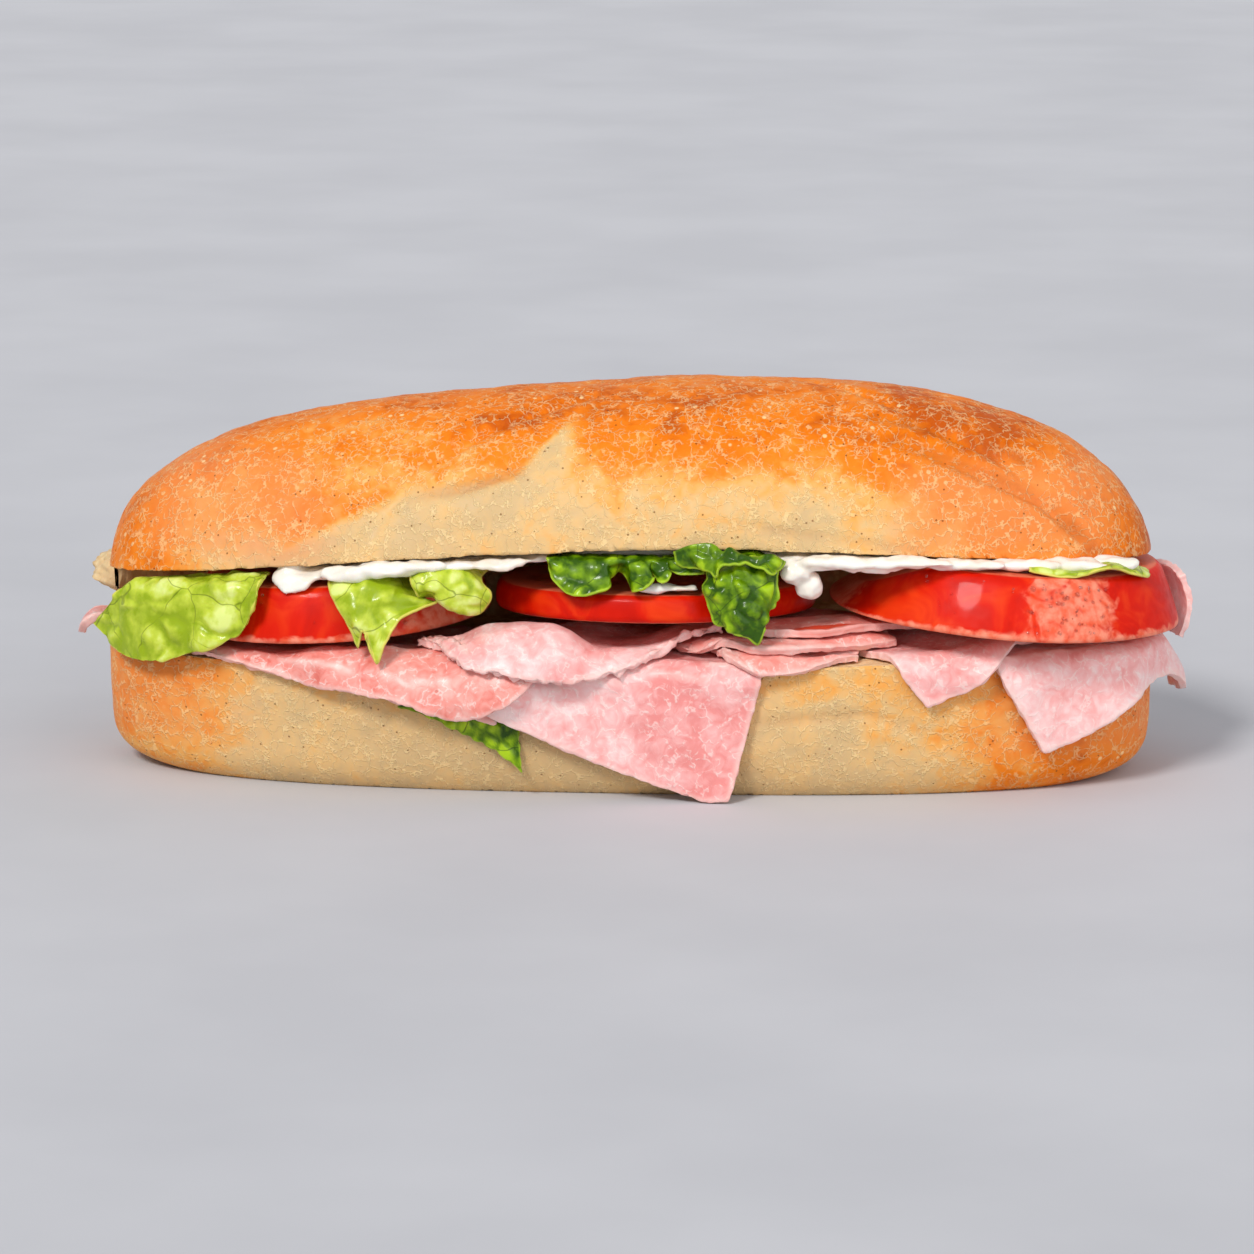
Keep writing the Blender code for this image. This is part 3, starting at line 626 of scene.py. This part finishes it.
def blushed(x, y, z):
    """Where the pale crust turns salmon: beside the crown at both ends and at the ends of the base."""
    left = smooth_step(-x, 55, 72) * smooth_step(-x, 108, 96) * smooth_step(z, 44, 54) * smooth_step(z, 74, 66)
    right = smooth_step(x, 52, 66) * smooth_step(x, 110, 98) * smooth_step(z, 48, 56) * smooth_step(z, 74, 66)
    base = smooth_step(abs(x + 4), 66, 96) * smooth_step(z, 4, 12) * smooth_step(z, 36, 28)
    return max(0.75 * left, 0.8 * right, 0.6 * base)


def make_roll():
    rings, sides = ((330, 290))
    roll = make_loaf(rings, sides)
    combine(roll, make_hinge_flap(), "UNION")
    combine(roll, make_slit(*(((190, 62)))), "DIFFERENCE")
    places = [vert.co / MM - ROLL_MIDDLE for vert in roll.data.vertices]
    set_attribute(roll.data, "bake", [baked(*place) for place in places])
    set_attribute(roll.data, "blush", [blushed(*place) for place in places])
    # The depth of the creases, which the crust's colour darkens as painted shade.
    set_attribute(roll.data, "crease", [crease_at(place) if place.y < 0 else 0.0 for place in places])
    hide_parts("roll")
    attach(roll, "root")


# Sheets: ham and leaves, worked up from the part's own solids


def refined_copy(node, name, finish, levels):
    """A finer, rounder copy of a thin node, and a tree of the points along its cut edges."""
    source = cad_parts[node]
    bm = bmesh.new()
    bm.from_mesh(source.data)
    bmesh.ops.remove_doubles(bm, verts=bm.verts, dist=1e-6)
    bmesh.ops.join_triangles(bm, faces=bm.faces, angle_face_threshold=math.radians(50),
                             angle_shape_threshold=math.radians(60))
    sharp = bm.edges.layers.float.new("crease_edge")
    points = []
    for edge in bm.edges:
        if edge.is_manifold and edge.calc_face_angle() > math.radians(58):
            edge[sharp] = SHEET_CREASE
            a, b = edge.verts[0].co, edge.verts[1].co
            steps = max(2, int((b - a).length / (0.5 * MM)))
            points += [a.lerp(b, k / steps) for k in range(steps + 1)]
    obj = object_from(bm, name, [finish])
    smooth = obj.modifiers.new("smooth", "SUBSURF")
    smooth.levels = levels
    smooth.render_levels = levels
    apply_modifiers(obj)
    return obj, tree_of(points)


def dress_sheet(node, finish, relief):
    """Replaces a thin node by its refined copy, moved along its normals by relief(point, edge distance)."""
    levels = SHEET_LEVELS
    obj, tree = refined_copy(node, node + "_dressed", finish, levels)
    mesh = obj.data
    edges, ridges, moved = [], [], []
    for vert in mesh.vertices:
        distance = tree.find(vert.co)[2] / MM
        point = vert.co / MM - ROLL_MIDDLE
        push, ridge = relief(point, distance)
        edges.append(distance)
        ridges.append(ridge)
        moved.append(vert.co + vert.normal * push * MM)
    move_points(mesh, moved)
    set_attribute(mesh, "edge_mm", edges)
    set_attribute(mesh, "ridge", ridges)
    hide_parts(node)
    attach(obj, "root")


# How red a slice of ham is at a point, as ham_finish's attribute ridge says


def flap_redness(point):
    return mix(-0.9, 1.1, smooth_step(point.x - 0.4 * (point.z - 20), -10, 12))


def corner_redness(point):
    return mix(-1.2, 0.2, smooth_step(point.z, 10, 32))


def top_redness(point):
    away = math.hypot((point.x - 51) / 17, (point.y + 33) / 4)
    return 2.0 * smooth_step(away, 1.2, 0.7)


def ham_relief(ragged=0.4, lumps=0.2, frill=2.4, redness=None):
    """Soft lumps and slow waves all over, and a ragged cut edge."""

    def relief(point, edge):
        push = 0.35 * rough_noise(point, 11, 6.6) + lumps * rough_noise(point, 3.4, 2.2)
        push += 0.06 * rough_noise(point, 1.3, 5.0)
        at_edge = 1 - smooth_step(edge, 0.2, 1.8)
        push += ragged * at_edge * (rough_noise(point, frill, 9.0) + 0.7 * rough_noise(point, 0.5 * frill, 4.0))
        return push, redness(point) if redness else 0.0

    return relief


def leaf_relief(pucker, cell):
    """Puckered leaf: pillows between sunk veins."""

    def relief(point, edge):
        seeds = (1.0, 2.0, 3.0)
        warped = Vector(point) + Vector([rough_noise(point, 5, seed) for seed in seeds]) * 0.3 * cell
        near, far = noise.voronoi(warped / cell)[0][:2]
        pillow = smooth_step(far - near, 0.0, 0.55)
        push = pucker * (pillow - 0.45) + 0.2 * rough_noise(point, 6, 8.0)
        return push, pillow

    return relief


HAMS = {
    "ham_centre_flap": (HAM_PALE, ham_relief(0.3, 0.2, redness=flap_redness)),
    "ham_curl": (HAM_PALE, ham_relief(1.0, 0.3, 1.8)),
    "ham_left": (HAM, ham_relief(0.45, 0.2)),
    "ham_left_end": (HAM, ham_relief(0.2, 0.1)),
    "ham_left_under": (HAM, ham_relief()),
    "ham_middle": (HAM, ham_relief()),
    "ham_middle_low": (HAM, ham_relief()),
    "ham_middle_top": (HAM, ham_relief(redness=top_redness)),
    "ham_right_flap": (HAM_PALE, ham_relief(0.3, 0.2, redness=corner_redness)),
    "ham_right_fold": (HAM_PALE, ham_relief(0.3, 0.2)),
    "ham_right_inner_flap": (HAM_PALE, ham_relief(0.3, 0.15)),
}

LEAVES = {
    "lettuce_left": (LIGHT_LEAF, leaf_relief(0.9, 7.5)),
    "lettuce_shred": (DARK_LEAF, leaf_relief(0.5, 3.5)),
}


def dress_sheets():
    for node, (finish, relief) in HAMS.items():
        dress_sheet(node, finish, relief)
    for node, (finish, relief) in LEAVES.items():
        dress_sheet(node, finish, relief)


# Frilled leaves. Each has rows of points in mm, from its root in the slit to its rim

TONGUE = (
    ((-61, -24, 47.5), (-56.5, -24, 47.8), (-52, -24, 48), (-47.5, -24, 48), (-43, -24, 47.5), (-39, -24, 46.5)),
    ((-61.5, -35.5, 45.5), (-57, -36, 46.5), (-53, -36, 47), (-48.5, -36, 46), (-45, -35.5, 44), (-41, -34, 42)),
    ((-59.5, -39, 41.5), (-56, -40.5, 42.5), (-53, -40, 43), (-49, -39.5, 43), (-45, -38.5, 43), (-39.5, -36, 42)),
    ((-57.5, -40, 38.5), (-55, -42, 38.5), (-52.5, -41, 38.5), (-49.5, -40.5, 39), (-46, -39.5, 40.5),
     (-39, -36.5, 42)),
    ((-54.5, -41, 32.5), (-53, -42, 36.5), (-50.5, -42.5, 29.5), (-48, -42.5, 35), (-45, -41, 39.5),
     (-37.5, -37, 42.5)),
)
FOLD = (
    ((-44, -23, 49), (-40, -23, 49), (-35.5, -23, 49), (-31, -23, 48.5), (-27.5, -23, 47)),
    ((-44, -35.5, 47.5), (-41, -36, 49.5), (-37, -36, 49.5), (-32.5, -35.5, 49), (-29, -34, 46.5)),
    ((-43.5, -38, 46), (-40, -39.5, 47), (-36, -39.5, 47), (-31.5, -38.5, 46), (-27, -35.5, 44)),
    ((-42.5, -38.5, 44), (-39.5, -40.5, 45.5), (-36.5, -40.5, 44), (-32.5, -39.5, 42.5), (-27, -36, 42)),
    ((-42, -36.5, 42.5), (-39, -39, 44.5), (-37, -39.5, 42.5), (-33, -39, 40), (-29, -36, 39.5)),
    ((-42, -33, 41.5), (-39.5, -34.5, 42.5), (-37, -35, 41), (-33.5, -35, 39.5), (-30, -33.5, 39.5)),
)
CENTRE_X = (-15, -13, -10, -6.5, -3.5, -1.5, 0, 1.5, 3, 5, 6.5, 7.5, 8.5, 9.5, 10.5, 11.5, 13.5, 16.5, 19)
CENTRE = (
    tuple((x, -24, 50.5) for x in CENTRE_X),
    tuple((x, -36.5, 51.8) for x in CENTRE_X),
    ((-14.5, -37, 50.5), (-13, -38.5, 49), (-9.5, -39.5, 47.5), (-5.5, -39.5, 47.5), (-2, -39, 48.5),
     (-1.5, -37, 49), (0, -36, 49.5), (2, -36.5, 49.5), (3, -39, 48.5), (5, -40, 48.5), (7, -39, 49.5),
     (7, -37.5, 50.5), (8.5, -38.5, 50), (10, -39.5, 49.5), (11, -39, 50), (10.5, -38, 51), (12.5, -38.5, 50.5),
     (16, -38.5, 50.5), (18.5, -38, 50.5)),
    ((-14.5, -37, 49.5), (-12.5, -39.5, 46.5), (-9, -41, 44.5), (-5, -41.5, 45), (-1.5, -40.5, 46),
     (-1.5, -37, 47.5), (0, -34.5, 48.5), (2, -36, 47.5), (3.5, -40.5, 45.5), (6, -42.5, 46.5), (8, -40.5, 48),
     (6.5, -37, 49.5), (8.5, -39.5, 48), (10, -41.5, 47.5), (11.5, -40, 49), (10, -37, 50), (13, -39, 49),
     (16.5, -39, 49), (18.5, -38, 49)),
)
LOBE = (
    ((17, -24, 52), (20, -24, 52), (23, -24, 52.2), (27, -24, 52.2), (31, -24, 52), (34, -24, 51.5)),
    ((19, -38, 50), (22, -38.5, 51.5), (25, -39, 52.5), (28, -39, 53), (31, -38.5, 52.5), (34.5, -37, 51.5)),
    ((18.5, -41, 46.5), (22, -43, 48), (25, -43.5, 48.5), (28.5, -43.5, 48.5), (31.5, -42.5, 48), (34, -40, 48)),
    ((19, -41.5, 43.5), (22.5, -43.5, 44), (25.5, -44, 44), (29, -44, 44), (31.5, -43, 44), (34, -40.5, 44)),
    ((20.5, -42, 40), (23.5, -43.5, 40), (26.5, -44, 39.5), (29, -44, 39.5), (31.5, -43, 40.5), (32.5, -41, 41.5)),
    ((23.5, -42, 38), (25, -43, 37), (27.5, -43.5, 36.5), (30, -43.5, 35), (31.5, -43, 37.5), (32, -41.5, 39.5)),
)
BRIM = (
    ((12, -39.5, 54), (15.5, -40, 55.5), (20, -40.5, 56), (22.5, -41.5, 54.5), (24, -42, 55.5), (26.5, -42, 54),
     (29.5, -42, 53.5), (32.5, -41, 54), (35.5, -39, 52)),
    ((12.5, -39.5, 52), (16, -41, 53.5), (19.5, -42, 53.5), (22, -43, 53), (24, -43.5, 54), (26.5, -44, 53),
     (30, -43.5, 52.5), (32.5, -42.5, 52.5), (35.5, -40, 51.5)),
    ((14, -39.5, 50.5), (17, -41, 50.5), (19.5, -42.5, 50.5), (21, -44, 49.5), (23, -44.5, 52), (26.5, -45, 53),
     (30, -44.5, 52), (32.5, -43.5, 50), (34.5, -41, 50.5)),
)


STRIP = (
    ((86.5, -27, 50), (90.5, -26, 49.5), (96.5, -24, 49), (102, -21.5, 49.5), (105.5, -19, 49.5), (109, -15, 47.5),
     (111.5, -11, 46)),
    ((86.5, -33, 50.3), (90.5, -32.5, 49.8), (96.5, -31, 49), (102, -29, 49.8), (105, -26, 49.6), (108.5, -22, 48),
     (112, -17, 46)),
    ((86.5, -34, 49.8), (90.5, -33.7, 48.7), (96.5, -32, 48.2), (102, -30, 49.4), (105, -27, 49), (108.5, -23, 47),
     (111.5, -18, 45.5)),
)


def through(points, share):
    """A smooth curve through the points. share is 0 at the first and 1 at the last."""
    at = share * (len(points) - 1)
    k = min(int(at), len(points) - 2)
    t = at - k
    a, b = points[k], points[k + 1]
    before = points[k - 1] if k else a * 2 - b
    after = points[k + 2] if k + 2 < len(points) else b * 2 - a
    curve = a * 2 + (b - before) * t + (before * 2 - a * 5 + b * 4 - after) * t * t
    return (curve + (a * 3 - before - b * 3 + after) * t**3) * 0.5


def leaf_blade(rows, relief):
    """A thin sheet through the rows of points, puckered, with a ruffled rim, and the points of its rim."""
    rows = [[Vector(p) for p in row] for row in rows]
    fine = 7
    across, down = (len(rows[0]) - 1) * fine + 8, (len(rows) - 1) * fine + 8
    bm = bmesh.new()
    bmesh.ops.create_grid(bm, x_segments=across, y_segments=down, size=1)
    shares = {}
    for vert in bm.verts:
        u, v = (vert.co.x + 1) / 2, (1 - vert.co.y) / 2
        shares[vert] = (u, v)
        vert.co = at_place(through([through(row, u) for row in rows], v))
    bm.normal_update()
    moved = {}
    for vert, (u, v) in shares.items():
        point = vert.co / MM - ROLL_MIDDLE
        rim = max(smooth_step(v, 0.8, 1.0), 0.6 * smooth_step(abs(u - 0.5), 0.44, 0.5))
        push = relief(point, 0.0)[0] * smooth_step(v, 0.0, 0.3)
        push += LEAF_FRILL * rim * rough_noise(point, 2.6, 5.5)
        moved[vert] = vert.co + vert.normal * push * MM
    for vert, place in moved.items():
        vert.co = place
    rims = [vert.co.copy() for vert, (u, v) in shares.items() if v > 0.999 or abs(u - 0.5) > 0.499]
    return bm, rims


def make_leaf(node, finish, blades, pucker, cell):
    """Replaces a leaf by one or more frilled blades."""
    relief = leaf_relief(pucker, cell)
    made, rims = bmesh.new(), []
    for rows in blades:
        bm, rim = leaf_blade(rows, relief)
        sheet = bpy.data.meshes.new("blade")
        bm.to_mesh(sheet)
        bm.free()
        made.from_mesh(sheet)
        bpy.data.meshes.remove(sheet)
        rims += rim
    obj = object_from(made, node + "_dressed", [finish])
    body = obj.modifiers.new("thickness", "SOLIDIFY")
    body.thickness = LEAF_THICKNESS * MM
    body.offset = 0
    apply_modifiers(obj)
    tree = tree_of(rims)
    mesh = obj.data
    set_attribute(mesh, "edge_mm", [tree.find(vert.co)[2] / MM - 0.5 * LEAF_THICKNESS for vert in mesh.vertices])
    set_attribute(mesh, "ridge", [relief(vert.co / MM - ROLL_MIDDLE, 0.0)[1] for vert in mesh.vertices])
    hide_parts(node)
    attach(obj, "root")


def make_leaves():
    make_leaf("lettuce_tongue", LIGHT_LEAF, [TONGUE], 0.5, 5.0)
    make_leaf("lettuce_fold", LIGHT_LEAF, [FOLD], 0.4, 4.5)
    make_leaf("lettuce_centre", DARK_LEAF, [CENTRE], 0.5, 4.0)
    make_leaf("lettuce_lobe", DARK_LEAF, [LOBE, BRIM], 0.9, 4.0)
    make_leaf("lettuce_right", LIGHT_LEAF, [STRIP], 0.3, 4.0)


# Tomatoes


class Tomato:
    """A slice: its middle, its radius, how far its skin slants in, its thickness, its tilt and its wedge.

    The wedge is how much lower its upper face is at the left end.
    """

    def __init__(self, node, middle, radius, slant, thick, tilt, wedge=0):
        self.node, self.middle, self.radius = node, middle, radius
        self.slant, self.thick, self.wedge = slant, thick, wedge
        self.turn = Euler((math.radians(tilt[0]), math.radians(tilt[1]), 0)).to_matrix()
        low = min(self.local(math.radians(a), 0.0)[0].z for a in range(0, 360, 3))
        self.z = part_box(node)[0][2] / MM - low

    def lobes(self, angle):
        return 1 + 0.012 * math.cos(3 * angle + self.middle[0]) + 0.008 * math.cos(5 * angle)

    def height(self, x, up):
        """How high a point of the slice is over its middle plane. up is 0 on the lower face and 1 on the upper."""
        lowered = self.wedge * smooth_step(-x, 0.3 * self.radius, self.radius)
        return up * (self.thick - lowered) - self.thick / 2

    def local(self, angle, up):
        """A point of the skin and its outward direction before the slice is put in place. up is from 0 to 1."""
        plain = self.radius - self.slant * up
        radius = plain * self.lobes(angle)
        around = Vector((math.cos(angle), math.sin(angle), 0))
        point = around * radius + Vector((0, 0, self.height(plain * math.cos(angle), up)))
        outward = (around + Vector((0, 0, self.slant / self.thick))).normalized()
        return self.turn @ point, self.turn @ outward

    def placed(self, local):
        return at_place((self.middle[0] + local.x, self.middle[1] + local.y, self.z + local.z))

    def skin(self, angle, up):
        local, outward = self.local(angle, up)
        return self.placed(local), outward

    def make(self, flesh_and_highlight):
        """The slice: a profile spun round, its lobes, its walls and the pockets between them."""
        edge = TOMATO_EDGE
        half = self.thick / 2
        profile = [(r, -half) for r in np.linspace(0, self.radius - edge, 26)]
        profile += [(self.radius - edge * 0.3, -half + edge * 0.3)]
        for up in np.linspace(edge / self.thick, 1 - edge / self.thick, 9):
            bulge = TOMATO_BULGE * math.sin(math.pi * up)
            profile.append((self.radius - self.slant * up + bulge, (up - 0.5) * self.thick))
        top = self.radius - self.slant
        profile += [(top - edge * 0.3, half - edge * 0.3)]
        profile += [(r, half) for r in np.linspace(top - edge, 0, 26)]
        bm = bmesh.new()
        verts = [bm.verts.new((r, 0, z)) for r, z in profile]
        for a, b in zip(verts, verts[1:]):
            bm.edges.new((a, b))
        bmesh.ops.spin(bm, geom=bm.verts[:] + bm.edges[:], cent=(0, 0, 0), axis=(0, 0, 1), angle=2 * math.pi,
                       steps=200, use_merge=True, use_duplicate=False)
        bmesh.ops.remove_doubles(bm, verts=bm.verts, dist=1e-4)
        bmesh.ops.recalc_face_normals(bm, faces=bm.faces)
        inward, pocket, pale = [], [], []
        for vert in bm.verts:
            angle = math.atan2(vert.co.y, vert.co.x)
            r = math.hypot(vert.co.x, vert.co.y)
            up = vert.co.z / self.thick + 0.5
            z = self.height(vert.co.x, up)
            skin_r = self.radius - self.slant * up
            cut = abs(abs(vert.co.z) - half) < 1e-3
            depth = (skin_r - r) if cut else 0.0
            share = r / skin_r
            spoke = 0.5 + 0.5 * math.cos(6 * angle + 1.5 * math.sin(2 * angle + self.middle[0]))
            hollow = smooth_step(spoke, 0.15, 0.5) * smooth_step(share, 0.28, 0.36) * smooth_step(share, 0.83, 0.75)
            hollow = hollow if cut else 0.0
            inward.append(depth)
            pocket.append(hollow)
            # The pale salmon share of the skin: its real pale places and the painted highlights.
            pale.append(flesh_and_highlight(angle, up) if not cut else 0.0)
            dent = 0.5 * hollow + 0.12 * rough_noise(vert.co, 2.5, 3.0) if cut else 0.0
            grow = self.lobes(angle)
            place = Vector((vert.co.x * grow, vert.co.y * grow, z - math.copysign(dent, vert.co.z)))
            vert.co = self.placed(self.turn @ place)
        obj = object_from(bm, self.node + "_dressed", [TOMATO])
        set_attribute(obj.data, "inward_mm", inward)
        set_attribute(obj.data, "pocket", pocket)
        set_attribute(obj.data, "flesh_and_highlight", pale)
        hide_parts(self.node)
        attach(obj, "root")


TOMATOES = {
    "left": Tomato("tomato_left", (-62.5, -6), 32.2, 3.5, 11.6, (0, -3.5)),
    "centre": Tomato("tomato_centre", (5.5, -5.5), 34.4, 0.6, 6, (-5, 0)),
    "right": Tomato("tomato_right", (81, -3.5), 38, 5.5, 13, (-1, 4.5), wedge=10),
}


def make_tomatoes():
    def rim(angle, up):
        return 0.75 * smooth_step(0.16 - up, 0.0, 0.1)

    def patch(angle, middle, reach):
        away = abs((math.degrees(angle) - middle + 180) % 360 - 180)
        return smooth_step(away, reach, 0.3 * reach)

    # Pale along the lower rim, and painted highlights towards the right of the front, at -50 and -34 degrees.
    def left_flesh_and_highlight(angle, up):
        return max(rim(angle, up), 0.6 * patch(angle, -50, 20), 0.95 * patch(angle, -34, 12))

    # Pale along the lower rim and at the left end, and a painted highlight on the front at -64 degrees.
    def right_flesh_and_highlight(angle, up):
        return max(rim(angle, up), 0.95 * patch(angle, 180, 40), 0.75 * patch(angle, -64, 26))

    TOMATOES["left"].make(left_flesh_and_highlight)
    TOMATOES["centre"].make(lambda angle, up: 0.0)
    TOMATOES["right"].make(right_flesh_and_highlight)


# Mayonnaise


SMEARS = (
    # middle x, y, z and radii
    (-70, -31, 47.4, 2.5, 2, 1.8),
    (-57, -36, 47.4, 6, 3, 1.8),
    (-49, -36.5, 48.6, 7, 3, 1.6),
    (-42, -37, 49.7, 6, 2.5, 1.1),
    (10, -37.5, 45.8, 7, 2, 0.9),
    (37.5, -36.5, 49.3, 3.4, 3, 2.4),
    (40.3, -35, 46.2, 2.8, 3, 2.8),
    (47, -37.5, 51.8, 9, 2.5, 1.3),
    (60, -36.5, 51.7, 10, 2.5, 1.2),
    (73, -34, 51.0, 9, 2.5, 1.1),
    (85, -30.5, 50.4, 8, 2.5, 1.1),
    (95, -27, 49.9, 8, 3, 1.3),
    (104, -21.5, 49.2, 6, 3, 1.3),
)


def make_mayonnaise():
    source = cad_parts["mayonnaise"]
    bm = bmesh.new()
    bm.from_mesh(source.data)
    bmesh.ops.remove_doubles(bm, verts=bm.verts, dist=1e-6)
    for x, y, z, rx, ry, rz in SMEARS:
        made = bmesh.ops.create_uvsphere(bm, u_segments=32, v_segments=24, radius=1)["verts"]
        for vert in made:
            rough = 1 + 0.2 * noise.noise(vert.co * 1.7 + Vector((x, y, z)))
            vert.co = at_place((x + vert.co.x * rx * rough, y + vert.co.y * ry * rough, z + vert.co.z * rz * rough))
    obj = object_from(bm, "mayonnaise_dressed", [MAYONNAISE])
    remesh = obj.modifiers.new("blend", "REMESH")
    remesh.mode = "VOXEL"
    remesh.voxel_size = 0.5 * MM
    soften = obj.modifiers.new("soften", "SMOOTH")
    soften.factor = 0.6
    soften.iterations = 5
    apply_modifiers(obj)
    moved = []
    for vert in obj.data.vertices:
        point = vert.co / MM - ROLL_MIDDLE
        uneven = 0.6 * rough_noise(point, 4.0, 6.0) + 0.25 * rough_noise(point, 1.8, 3.0)
        moved.append(vert.co + vert.normal * (uneven + 0.1) * MM)
    move_points(obj.data, moved)
    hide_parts("mayonnaise")
    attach(obj, "root")


# Drops of juice


def make_drops():
    random.seed(11)
    bm = bmesh.new()
    patches = (
        # tomato, angles in degrees, heights, how many, largest radius in mm
        ("left", (-74, -48), (0.15, 0.9), 34, 0.5),
        ("left", (-125, -80), (0.2, 0.9), 8, 0.35),
        ("centre", (-62, -40), (0.3, 0.8), 10, 0.4),
        ("right", (-88, -50), (0.15, 0.9), 60, 0.6),
        ("right", (-140, -90), (0.3, 0.9), 14, 0.35),
    )
    for name, angles, heights, count, largest in patches:
        for _ in range(count):
            place, outward = TOMATOES[name].skin(math.radians(random.uniform(*angles)), random.uniform(*heights))
            radius = largest * mix(0.35, 1.0, random.random() ** 2.2)
            made = bmesh.ops.create_uvsphere(bm, u_segments=12, v_segments=8, radius=1)["verts"]
            turn = outward.to_track_quat("Z", "Y").to_matrix()
            for vert in made:
                flat = Vector((vert.co.x, vert.co.y, vert.co.z * 0.5)) * radius * MM
                vert.co = place + outward * (0.25 + 0.1 * radius) * MM + turn @ flat
    obj = object_from(bm, "juice_drops", [JUICE])
    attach(obj, "root")


# The studio


def make_studio():
    f = Finish("studio_floor", Roughness=0.8, Specular_IOR_Level=0.1)
    tone = f.colours(f.noise(90, 4.0).outputs["Fac"], (0.35, (0.54, 0.54, 0.57)), (0.65, (0.58, 0.58, 0.61)))
    paper = f.finish(Base_Color=tone)
    bm = bmesh.new()
    bmesh.ops.create_grid(bm, x_segments=1, y_segments=1, size=3.0)
    floor = object_from(bm, "floor", [paper])
    world = bpy.data.worlds.new("studio")
    world.use_nodes = True
    world.node_tree.nodes["Background"].inputs[0].default_value = (0.93, 0.96, 1.0, 1)
    world.node_tree.nodes["Background"].inputs[1].default_value = 0.5
    bpy.context.scene.world = world
    bpy.context.scene.view_settings.view_transform = "Standard"
    for name, above, beside, strength, spread, colour in (
        # name, degrees above the floor, degrees to the right of the front, strength, degrees across, colour
        ("key", 42, -25, 1.95, 14, (1.0, 0.99, 0.97)),
        ("fill", 24, 46, 0.95, 60, (1.0, 1.0, 1.0)),
    ):
        data = bpy.data.lights.new(name, "SUN")
        data.energy = strength
        data.angle = math.radians(spread)
        data.color = colour
        lamp = bpy.data.objects.new(name, data)
        up, side = math.radians(above), math.radians(beside)
        toward = Vector((math.sin(side) * math.cos(up), -math.cos(side) * math.cos(up), math.sin(up)))
        lamp.rotation_euler = toward.to_track_quat("Z", "Y").to_euler()
        bpy.context.scene.collection.objects.link(lamp)


def make_camera():
    above, beside = math.radians(CAMERA_ABOVE), math.radians(CAMERA_BESIDE)
    aim = at_place(CAMERA_AIM)
    back = Vector((math.sin(beside) * math.cos(above), -math.cos(beside) * math.cos(above), math.sin(above)))
    data = bpy.data.cameras.new("camera")
    data.sensor_width = SENSOR_WIDTH
    data.lens = SENSOR_WIDTH * FOCAL_LENGTH / PICTURE_WIDTH
    data.clip_start = 0.01
    camera = bpy.data.objects.new("camera", data)
    camera.location = aim + back * CAMERA_AWAY
    camera.rotation_euler = back.to_track_quat("Z", "Y").to_euler()
    bpy.context.scene.collection.objects.link(camera)
    bpy.context.scene.camera = camera


make_roll()
dress_sheets()
make_leaves()
make_tomatoes()
make_mayonnaise()
make_drops()
make_studio()
make_camera()
